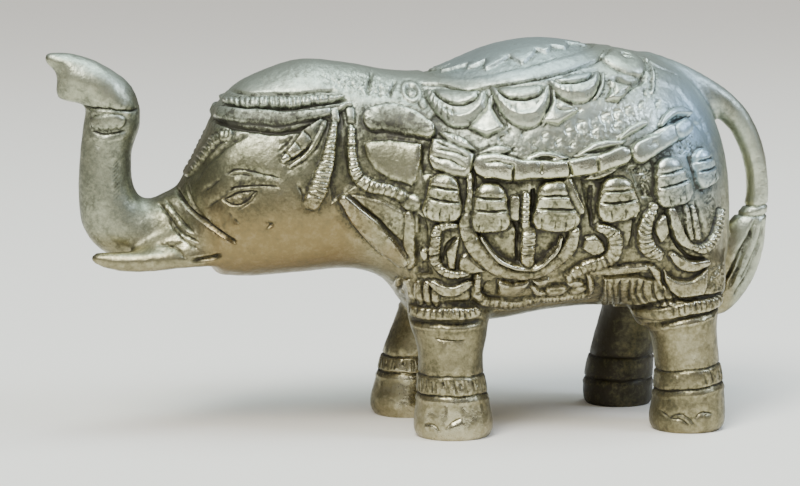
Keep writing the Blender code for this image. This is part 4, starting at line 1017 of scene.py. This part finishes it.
# %% Trunk band
def trunk_rings(points):
    upright = ease((points[:, 2] - 50) / 2) * (points[:, 0] < -60)
    turn = np.arctan2(np.abs(points[:, 1]), points[:, 0] + 67)
    skin = Skin(turn * 6, points[:, 2], upright)
    skin.groove([(2.6, 71.2), (6.6, 71.2), (10, 71.5), (14, 71.8), (17.6, 72)], 0.38, 0.6)
    skin.groove([(5, 70.7), (9.5, 70.6), (14, 70.8)], 0.6, -0.2)
    skin.groove([(6.4, 66.7), (10.4, 66.2), (14.4, 66.8)], 0.4, 0.65)
    skin.pad(bow((10.6, 68.7), 4, 1.65, 0, 360, 0, 3), 0.5, 0.9)
    for u in (12.4, 10.4, 8.5):
        skin.groove([(u, 67.8), (u, 66.8)], 0.3, 0.4)
    skin.groove([(15, 70.2), (14.8, 67.4)], 0.3, 0.35)
    skin.groove([(5.5, 65.4), (10, 65), (15, 65.5)], 0.75, -0.2)
    skin.groove([(13.2, 63.8), (12.2, 63.3)], 0.3, 0.25)
    for k in range(10):
        v = 51.6 + 0.85 * k
        skin.groove([(9.6, v), (8.7, v + 0.8), (7.8, v + 1.7)], 0.26, 0.16)
    return skin


# %% The saddle seen from above
SADDLE_MIDDLE = 20.5
SADDLE_HALF = (23.5, 19.5)
PETALS = 16


def saddle_top(points, normals):
    share = ease(normals[:, 2] / 0.3) * (points[:, 2] > 70)
    skin = Skin(points[:, 0], np.abs(points[:, 1]), share)
    lobe = [
        (38.6, 12.8), (39.9, 14.7), (41.7, 15.7), (44.2, 16.5), (46.5, 16.5), (48, 15.5), (48.9, 13),
        (48.8, 10), (47.5, 7), (45, 5.5), (42.5, 6.9), (40.4, 9.7),
    ]
    skin.pad(lobe, 0.9, 2.4)
    skin.cord([(49.6, 8.5), (50.4, 12.8), (50, 16.4), (49, 19)], (0.2, 0.4, 0.4, 0.2), 0.5)
    skin.groove(bow((44.8, 11.1), 0.9, 0.9, 20, 340), 0.3, 0.45)
    skin.groove([(47.8, 8.6), (50.4, 10.6), (53.5, 10.4), (57.5, 8)], 0.5, 0.7)
    out = np.hypot((skin.u - SADDLE_MIDDLE) / SADDLE_HALF[0], skin.v / SADDLE_HALF[1])
    turn = np.arctan2(skin.v / SADDLE_HALF[1], (skin.u - SADDLE_MIDDLE) / SADDLE_HALF[0]) / (2 * math.pi)
    saw = (turn * PETALS + 0.12 * np.sin(9 * turn * PETALS / 4)) % 1
    notch = np.where(saw < 0.25, saw / 0.25, (1 - saw) / 0.75)
    reach = 0.56 + (0.15 + 0.05 * np.sin(turn * 29)) * (1 - notch) ** 0.8
    cut = np.minimum(out - reach, 0.85 - out) * SADDLE_HALF[1]
    lumps = np.sin(
        5.1 * skin.u + 1.7 * np.sin(2.1 * skin.v)
    ) * np.sin(4.7 * skin.v + 1.9 * np.sin(1.9 * skin.u))
    skin.height -= ease(cut / 0.6) * (0.6 + 0.08 * lumps)
    return skin


print(PETALS, "petals round the saddle")


# %% Tail bands and locks
def tail_locks(points):
    lower = (points[:, 0] > 62) & (points[:, 2] < 50)
    past = ease(points[:, 0] - 73 + np.clip(45 - points[:, 2], 0, 20) * 0.75)
    skin = Skin(points[:, 0], points[:, 2], lower * past)
    for v in (47.6, 45.4):
        skin.groove([(73, v + 0.6), (77.5, v), (82, v + 0.8)], 0.5, 0.5)
    for start, middle, end, half in (
        ((79.4, 44), (77.2, 37.6), (73.8, 31), 0.55),
        ((77.6, 45), (74.6, 38), (71.4, 29.6), 0.75),
        ((76.4, 42.6), (72.6, 35.6), (68.8, 27.4), 0.6),
        ((78.6, 40.2), (76.4, 34.4), (72.6, 27.6), 0.4),
        ((75, 40.6), (71.6, 33.2), (68, 25.6), 0.4),
    ):
        skin.groove([start, middle, end], half, 0.75 * half + 0.1)
    return skin

# %% [markdown]
# ## Raising the carving
#
# All the skins are read back on to the animal, and every point moves along its normal.
# What each point keeps is how far it stands below the metal round it. That number, blurred
# at two scales, says where patina gathers and where a polishing cloth reaches.

# %% Carve
GROUND_DEPTH = 0.4
CASTING_WAVE = 0.05


def carve(animal):
    mesh = animal.data
    points, normals = read_points(mesh, "co"), read_points(mesh, "normal")
    outward = normals[:, 1] * np.sign(points[:, 1])
    flank = Skin(points[:, 0], points[:, 2], ease(outward / 0.35))
    ground = [
        (-3.5, 66.0), (3.0, 73.0), (20.0, 74.0), (34.0, 77.5), (46.0, 79.0), (56.0, 76.0), (62.0, 68.0),
        (66.0, 58.0), (68.0, 40.0), (60.0, 30.0), (36.0, 28.0), (8.0, 27.0), (-4.0, 33.0), (-2.0, 54.0),
    ]
    flank.sink(ground, GROUND_DEPTH)
    for motif in (
        headgear, face, ear, harness, saddle_cloth, fringe, scrolls, curls, medallion, flank_bells, garland,
        garters,
    ):
        motif(flank)
    raised = np.zeros(len(points))
    skins = [flank, saddle_top(points, normals), trunk_rings(points), tail_locks(points)]
    for skin in skins + anklets(points):
        raised[skin.spot] += skin.height * skin.share
    x, y, z = points.T
    casting = np.sin(1.1 * x + 1.3 * np.sin(0.7 * z)) * np.sin(0.9 * z + 1.7 * np.sin(0.6 * y))
    casting *= np.sin(1.2 * y + 0.8 * x)
    moved = raised + CASTING_WAVE * casting
    mesh.vertices.foreach_set("co", (points + normals * moved[:, None]).ravel())
    mesh.update()
    return raised, normals


raised, normals = carve(elephant)
print("carving from", round(raised.min(), 2), "to", round(raised.max(), 2), "mm")


# %% Where the patina gathers, and where shade and sheen are painted
def blurred(values, edges, passes):
    """Each point's mean with its neighbours, over and over."""
    share = np.bincount(edges.ravel(), minlength=len(values)) + 1.0
    for _ in range(passes):
        total = values.copy()
        total += np.bincount(edges[:, 0], values[edges[:, 1]], len(values))
        total += np.bincount(edges[:, 1], values[edges[:, 0]], len(values))
        values = total / share
    return values


NEAR_PASSES, NEAR_DEPTH = 10, 0.4
WIDE_PASSES, WIDE_DEPTH = 70, 1.1
BUSY_PASSES, BUSY_DEPTH = 60, 0.1
WEAR = [
    # place, its half width and height, and how much darker it is made; below zero it is made lighter
    (-67.0, 56.0, 7.0, 10.0, 0.10),
    (-60.0, 47.0, 5.0, 4.0, 0.12),
    (-42.0, 55.0, 9.0, 7.0, 0.17),
    (-33.0, 69.8, 14.0, 3.0, 0.33),
    (-6.0, 69.0, 7.0, 3.4, 0.36),
    (-7.0, 61.0, 6.0, 4.0, 0.08),
    (36.0, 69.0, 17.0, 4.5, -0.34),
    (25.0, 60.0, 24.0, 3.4, -0.24),
    (5.0, 4.0, 13.0, 8.0, -0.24),
    (58.0, 18.0, 8.0, 6.0, -0.10),
    (78.0, 50.0, 4.0, 16.0, -0.20),
]


def keep(mesh, **fields):
    """Stores a number from 0 to 1 at every point, under each name."""
    for name, values in fields.items():
        layer = mesh.attributes.new(name, "FLOAT", "POINT")
        layer.data.foreach_set("value", np.clip(values, 0, 1).astype(np.float32))


def keep_patina(animal, raised, sideways):
    """Dark where the metal lies deep, with shade painted on the far hind leg and on sideways faces, and
    listed patches darker or lighter; busy says how much carving is close by.
    """
    mesh = animal.data
    edges = np.empty(len(mesh.edges) * 2, dtype=np.int64)
    mesh.edges.foreach_get("vertices", edges)
    edges = edges.reshape(-1, 2)
    near = blurred(raised, edges, NEAR_PASSES) - raised
    wide = blurred(raised, edges, WIDE_PASSES) - raised
    depth = np.clip(near / NEAR_DEPTH, -1, 1) * 0.4 + np.clip(wide / WIDE_DEPTH, -1, 1) * 0.6
    x, y, z = read_points(mesh, "co").T
    legs, trunk = ease((34.0 - z) / 6.0), ease((-56.0 - x) / 6.0)
    # Painted shade, partly patina: the far hind leg, back under the body, is darkened as though in shadow.
    far_hind_leg = legs * ease((y - 4.0) / 6.0) * ease((x - 38.0) / 8.0)
    # Painted shade: faces of the legs and trunk that turn toward the head or the tail are darkened, so each
    # leg reads darker at its edges.
    wear = 0.3 * far_hind_leg + 0.17 * sideways**1.5 * np.maximum(legs, 0.7 * trunk)
    for u, v, wide, tall, amount in WEAR:
        wear += amount * np.exp(-((x - u) / wide) ** 2 - ((z - v) / tall) ** 2)
    busy = blurred(np.abs(near), edges, BUSY_PASSES) / BUSY_DEPTH
    keep(mesh, patina=0.5 + 0.5 * depth + wear, busy=busy)


def keep_film(animal, upward):
    """Paints light into the colour: top light with a pale film on what faces up and on the upper flank,
    sky reflection with a bluish bloom on the rump and saddle top, and warm floor reflection with bare
    brass on the cheek, a strap and the lower body.
    """
    mesh = animal.data
    x, y, z = read_points(mesh, "co").T

    def round_about(u, v, wide, tall):
        return np.exp(-((x - u) / wide) ** 2 - ((z - v) / tall) ** 2)

    # Blue-grey on the rump: partly a bloom of patina, partly painted reflection of the cool sky.
    rump = round_about(59.0, 66.0, 9.0, 13.0)
    # Painted top light: the upper flank is paled more the higher it lies.
    hem = 0.5 * ease((z - 56.0) / 10.0) * ease((x + 2.0) / 6.0) * ease((62.0 - x) / 8.0)
    # Painted top light, partly a dust film: what faces up on the head and back is paled.
    crown = 0.6 * ease((upward - 0.1) / 0.6) * ease((z - 60.0) / 12.0)
    trunk = 0.25 * ease((-56.0 - x) / 5.0) * ease((z - 42.0) / 4.0)
    punched = 0.8 * round_about(36.0, 69.0, 14.0, 4.0)
    tail = 0.5 * ease((x - 71.0) / 3.0)
    # The pale film is partly a film on the metal and partly painted top light.
    film = np.maximum.reduce([hem, crown, trunk, punched, tail])
    # Painted warm reflection of the floor, partly bare rubbed brass: the cheek, a strap and the lower body
    # turn warm brown.
    cheek = ease((x + 53.0) / 8.0) * ease((-4.0 - x) / 16.0) * ease((60.0 - z) / 14.0)
    strap = 0.8 * round_about(-8.0, 41.0, 4.0, 4.0)
    # Painted floor reflection: warmer toward the bottom.
    lower = 0.45 * ease((54.0 - z) / 20.0)
    # Painted sky reflection: the saddle top is tinted blue-grey where it faces up.
    saddle = ease((upward - 0.3) / 0.3) * ease((x - 2.0) / 6.0) * ease((40.0 - x) / 6.0)
    saddle *= ease((z - 76.0) / 3.0)
    bare = 0.75 * np.maximum.reduce([cheek, strap, lower])
    keep(mesh, film=film, bloom=np.maximum(0.8 * rump, 0.25 * saddle), bare=bare)


keep_patina(elephant, raised, np.abs(normals[:, 0]))
keep_film(elephant, normals[:, 2])
print("patina and film run over", len(elephant.data.vertices), "points")

# %% [markdown]
# ## From sculpt to part
#
# Two million triangles are far more than the figurine needs. Decimation keeps many where
# the chisel went and few on the smooth cheek. The feet are then ground flat, and the
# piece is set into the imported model's own box.

# %% Thin out the triangles
TRIANGLES = 198000


def thin_out(animal):
    mesh = animal.data
    mesh.calc_loop_triangles()
    if len(mesh.loop_triangles) > TRIANGLES:
        fewer = animal.modifiers.new("fewer", "DECIMATE")
        fewer.ratio = TRIANGLES / len(mesh.loop_triangles)
        apply_modifiers(animal)


thin_out(elephant)
print(len(elephant.data.polygons), "faces after thinning")


# %% Grind the feet flat and set the piece in its place
def stand(animal):
    made = bmesh.new()
    made.from_mesh(animal.data)
    cut = bmesh.ops.bisect_plane(
        made, geom=made.verts[:] + made.edges[:] + made.faces[:], plane_co=(0, 0, 0), plane_no=(0, 0, 1),
        clear_inner=True,
    )
    rims = [e for e in cut["geom_cut"] if isinstance(e, bmesh.types.BMEdge)]
    soles = bmesh.ops.holes_fill(made, edges=rims)
    low = [min(v.co[k] for v in made.verts) for k in range(3)]
    high = [max(v.co[k] for v in made.verts) for k in range(3)]
    size = (high_corner.x - low_corner.x) / (high[0] - low[0])
    middle = (low_corner + high_corner) / 2
    for v in made.verts:
        v.co.x = (v.co.x - (low[0] + high[0]) / 2) * size + middle.x
        v.co.y = (v.co.y - (low[1] + high[1]) / 2) * size + middle.y
        v.co.z = v.co.z * size + low_corner.z
    for face in made.faces:
        face.smooth = True
    for sole in soles["faces"]:
        sole.smooth = False
        for edge in sole.edges:
            edge.smooth = False
    made.to_mesh(animal.data)
    made.free()
    return size


print("one drawn unit is", round(stand(elephant) * 1000, 4), "mm")

# %% Ride on the casting and replace it
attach(elephant, "root")
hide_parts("elephant")
print("the sculpt replaces the packed casting")

# %% [markdown]
# ## Aged brass
#
# Brass is copper with about a third of zinc. A sand-cast and polished piece is satin, not
# a mirror: the cloth rides over high places and leaves them pale, while the ground keeps
# a grey-green film and the cuts stay almost black. So the patina kept above, with the
# shade painted on the far hind leg and on the sides of the legs and trunk, drives colour,
# metallic and roughness together. Coats over it paint in top light, sky reflection and warm
# floor reflection. Noise breaks it up at four sizes, from the blotches of handling down to
# the grain of the casting sand, and the stains gather beside the carving.

# %% Colours and one way to add a node
def srgb(code):
    """A linear colour from an sRGB hex value."""
    values = [int(code[i:i + 2], 16) / 255 for i in (1, 3, 5)]
    return tuple(v / 12.92 if v <= 0.04045 else ((v + 0.055) / 1.055) ** 2.4 for v in values) + (1.0,)


def node(tree, kind, settings=None, inputs=None, links=None):
    """Adds a node, sets its properties and input values, and links other nodes' outputs to its inputs."""
    made = tree.nodes.new(kind)
    for name, value in (settings or {}).items():
        setattr(made, name, value)
    for name, value in (inputs or {}).items():
        made.inputs[name].default_value = value
    for name, output in (links or {}).items():
        tree.links.new(output, made.inputs[name])
    return made


POLISHED_BRASS = "#cfccb0"
DULL_BRASS = "#9c997c"
GREY_GREEN_FILM = "#605f49"
PATINA = "#302c20"
# Coats that are partly painted light: film with top light, bloom with sky reflection, bare brass with warm
# floor reflection.
OLIVE_FILM = "#c0cabc"
BLUE_GREY_BLOOM = "#a6c4d8"
BARE_BRASS = "#7a6238"
print("polished brass is", [round(c, 3) for c in srgb(POLISHED_BRASS)[:3]])


# %% The brass
NOISES = {
    # how many lie on a metre, detail, roughness; that is every 9.1, 2.4, 1.1 and 0.77 mm
    "blotch": (110.0, 4.0, 0.6),
    "mottle": (420.0, 3.0, 0.6),
    "stain": (900.0, 3.0, 0.65),
    "grain": (1300.0, 3.0, 0.7),
}
COATS = {"bare": BARE_BRASS, "film": OLIVE_FILM, "bloom": BLUE_GREY_BLOOM}
# The ramp darkens toward patina; the painted shade on the far hind leg and sideways faces rides the same
# ramp.
STOPS = ((0.3, POLISHED_BRASS), (0.52, DULL_BRASS), (0.7, GREY_GREEN_FILM), (0.92, PATINA))


def aged_brass():
    material = bpy.data.materials.new("cast_brass_aged_satin")
    material.use_nodes = True
    tree = material.node_tree
    tree.nodes.clear()
    finish = node(tree, "ShaderNodeBsdfPrincipled")
    node(tree, "ShaderNodeOutputMaterial", links={"Surface": finish.outputs["BSDF"]})
    place = node(tree, "ShaderNodeTexCoord").outputs["Object"]
    marks, noise, ranges, shares = {}, {}, {}, {}
    for name in ("patina", "busy", "film", "bloom", "bare"):
        marks[name] = node(tree, "ShaderNodeAttribute", {"attribute_name": name}).outputs["Fac"]
    for name, (per_metre, detail, rough) in NOISES.items():
        typed = {"Scale": per_metre, "Detail": detail, "Roughness": rough}
        noise[name] = node(tree, "ShaderNodeTexNoise", inputs=typed, links={"Vector": place}).outputs["Fac"]
    spots = {"From Min": 0.46, "From Max": 0.62, "To Min": 0.0, "To Max": 0.26}
    noise["stain"] = node(
        tree, "ShaderNodeMapRange", inputs=spots, links={"Value": noise["stain"]},
    ).outputs["Result"]

    # Each noise is weighed and added to the patina and painted shade; the stains are weighed by how busy the
    # carving is.
    grime = marks["patina"]
    for name, weight in (("blotch", 0.24), ("mottle", 0.4), ("stain", marks["busy"]), ("grain", 0.4)):
        typed = {1: weight} if isinstance(weight, float) else {}
        linked = {0: noise[name], 2: grime} if typed else {0: noise[name], 1: weight, 2: grime}
        grime = node(tree, "ShaderNodeMath", {"operation": "MULTIPLY_ADD"}, typed, linked).outputs[0]
    grime = node(
        tree, "ShaderNodeMath", {"operation": "SUBTRACT", "use_clamp": True}, {1: 0.48}, {0: grime},
    ).outputs[0]

    ramp = node(tree, "ShaderNodeValToRGB", links={"Fac": grime})
    for k, (stop, code) in enumerate(STOPS):
        if k > 1:
            ramp.color_ramp.elements.new(stop)
        ramp.color_ramp.elements[k].position = stop
        ramp.color_ramp.elements[k].color = srgb(code)
    for name, low, high, first, last in (
        ("clean", 0.55, 0.85, 1.0, 0.1),
        ("metal", 0.6, 1.0, 1.0, 0.4),
        ("gloss", 0.3, 0.8, 0.22, 0.5),
    ):
        typed = {"From Min": low, "From Max": high, "To Min": first, "To Max": last}
        ranges[name] = node(
            tree, "ShaderNodeMapRange", inputs=typed, links={"Value": grime},
        ).outputs["Result"]

    # The coats and painted sheens lie over the ramp: a pale film with painted top light, a blue-grey
    # bloom with painted sky reflection, and bare brass with painted warm floor reflection. None of
    # them reaches into a dark cut.
    colour = ramp.outputs["Color"]
    for name, code in COATS.items():
        linked = {0: marks[name], 1: ranges["clean"]}
        shares[name] = node(tree, "ShaderNodeMath", {"operation": "MULTIPLY"}, links=linked).outputs[0]
        linked = {"Fac": shares[name], "Color1": colour}
        colour = node(
            tree, "ShaderNodeMixRGB", inputs={"Color2": srgb(code)}, links=linked,
        ).outputs["Color"]
    veil = node(tree, "ShaderNodeMath", {"operation": "ADD"}, links={0: shares["film"], 1: shares["bloom"]})
    linked = {0: veil.outputs[0], 2: ranges["gloss"]}
    satin = node(tree, "ShaderNodeMath", {"operation": "MULTIPLY_ADD"}, {1: 0.16}, linked).outputs[0]

    bump = None
    for name, distance in (("blotch", 0.0006), ("mottle", 0.00025), ("grain", 0.0001)):
        linked = {"Height": noise[name], "Normal": bump} if bump else {"Height": noise[name]}
        typed = {"Strength": 0.5, "Distance": distance}
        bump = node(tree, "ShaderNodeBump", inputs=typed, links=linked).outputs["Normal"]
    ends = {"Base Color": colour, "Metallic": ranges["metal"], "Roughness": satin, "Normal": bump}
    for name, output in ends.items():
        tree.links.new(output, finish.inputs[name])
    return material


elephant.data.materials.clear()
elephant.data.materials.append(aged_brass())
print("material:", elephant.data.materials[0].name)

# %% [markdown]
# ## Studio
#
# The figurine stands on warm white paper, which comes back in the lower half of the metal.
# Soft cool light falls from above and from both sides. A long lens looks at it from a
# little above and a few degrees toward its front.

# %% Floor
FLOOR_HALF = 7.0
floor_mesh = bpy.data.meshes.new("studio_floor")
corners = [(x * FLOOR_HALF, y * FLOOR_HALF, 0) for x, y in ((-1, -1), (1, -1), (1, 1), (-1, 1))]
floor_mesh.from_pydata(corners, [], [(0, 1, 2, 3)])
floor = bpy.data.objects.new("studio_floor", floor_mesh)
floor.location.z = low_corner.z
bpy.context.scene.collection.objects.link(floor)
paper = bpy.data.materials.new("matt_paper_warm_white")
paper.use_nodes = True
paper.node_tree.nodes["Principled BSDF"].inputs["Base Color"].default_value = srgb("#f8f1e4")
paper.node_tree.nodes["Principled BSDF"].inputs["Roughness"].default_value = 0.9
floor_mesh.materials.append(paper)
print("floor", FLOOR_HALF * 2, "m square")


# %% Lights
def softbox(name, place, size, watts, colour, aim=(0.0, 0.0, 0.04)):
    light = bpy.data.lights.new(name, "AREA")
    light.shape = "RECTANGLE"
    light.size, light.size_y = size
    light.energy = watts
    light.color = srgb(colour)[:3]
    made = bpy.data.objects.new(name, light)
    made.location = place
    made.rotation_mode = "QUATERNION"
    made.rotation_quaternion = (Vector(aim) - Vector(place)).to_track_quat("-Z", "Y")
    bpy.context.scene.collection.objects.link(made)
    return made


softbox("key_upper_left", (-0.7, -0.9, 1.25), (0.55, 0.55), 15.0, "#f4f8f2")
softbox("top_strip", (0.1, -0.1, 1.3), (1.2, 0.35), 14.0, "#d6ecf4")
softbox("cool_right", (1.1, -0.5, 1.0), (0.5, 0.6), 13.0, "#cfe0fa")

sun = bpy.data.lights.new("window_wall", "SUN")
sun.energy = 2.1
sun.angle = math.radians(35.0)
daylight = bpy.data.objects.new("window_wall", sun)
daylight.rotation_euler = (math.radians(38.0), 0.0, math.radians(-30.0))
bpy.context.scene.collection.objects.link(daylight)

world = bpy.data.worlds.new("studio_air")
world.use_nodes = True
sky = world.node_tree
sky.nodes.clear()
up = node(
    sky, "ShaderNodeSeparateXYZ", links={"Vector": node(sky, "ShaderNodeTexCoord").outputs["Generated"]},
)
height = node(
    sky, "ShaderNodeMapRange", inputs={"From Min": -0.05, "From Max": 0.75},
    links={"Value": up.outputs["Z"]},
)
shade = node(
    sky, "ShaderNodeMixRGB", inputs={"Color1": srgb("#8a7860"), "Color2": srgb("#e3ebf4")},
    links={"Fac": height.outputs["Result"]},
)
air = node(sky, "ShaderNodeBackground", inputs={"Strength": 0.45}, links={"Color": shade.outputs["Color"]})
sky.links.new(air.outputs["Background"], node(sky, "ShaderNodeOutputWorld").inputs["Surface"])
bpy.context.scene.world = world

# %% Camera
AZIMUTH, ELEVATION = math.radians(-9.0), math.radians(7.0)
CAMERA_DISTANCE = 0.620
LENS_MM = 125.87
AIM = Vector((-0.00337, 0.0, 0.0405))
camera = bpy.data.objects.new("camera", bpy.data.cameras.new("camera"))
level = math.cos(ELEVATION)
toward_camera = Vector((math.sin(AZIMUTH) * level, -math.cos(AZIMUTH) * level, math.sin(ELEVATION)))
camera.location = AIM + toward_camera * CAMERA_DISTANCE
camera.rotation_mode = "QUATERNION"
camera.rotation_quaternion = (-toward_camera).to_track_quat("-Z", "Y")
camera.data.sensor_width = 36.0
camera.data.lens = LENS_MM
camera.data.clip_start = 0.01
bpy.context.scene.collection.objects.link(camera)
bpy.context.scene.camera = camera
print("camera", round(CAMERA_DISTANCE * 1000), "mm away")
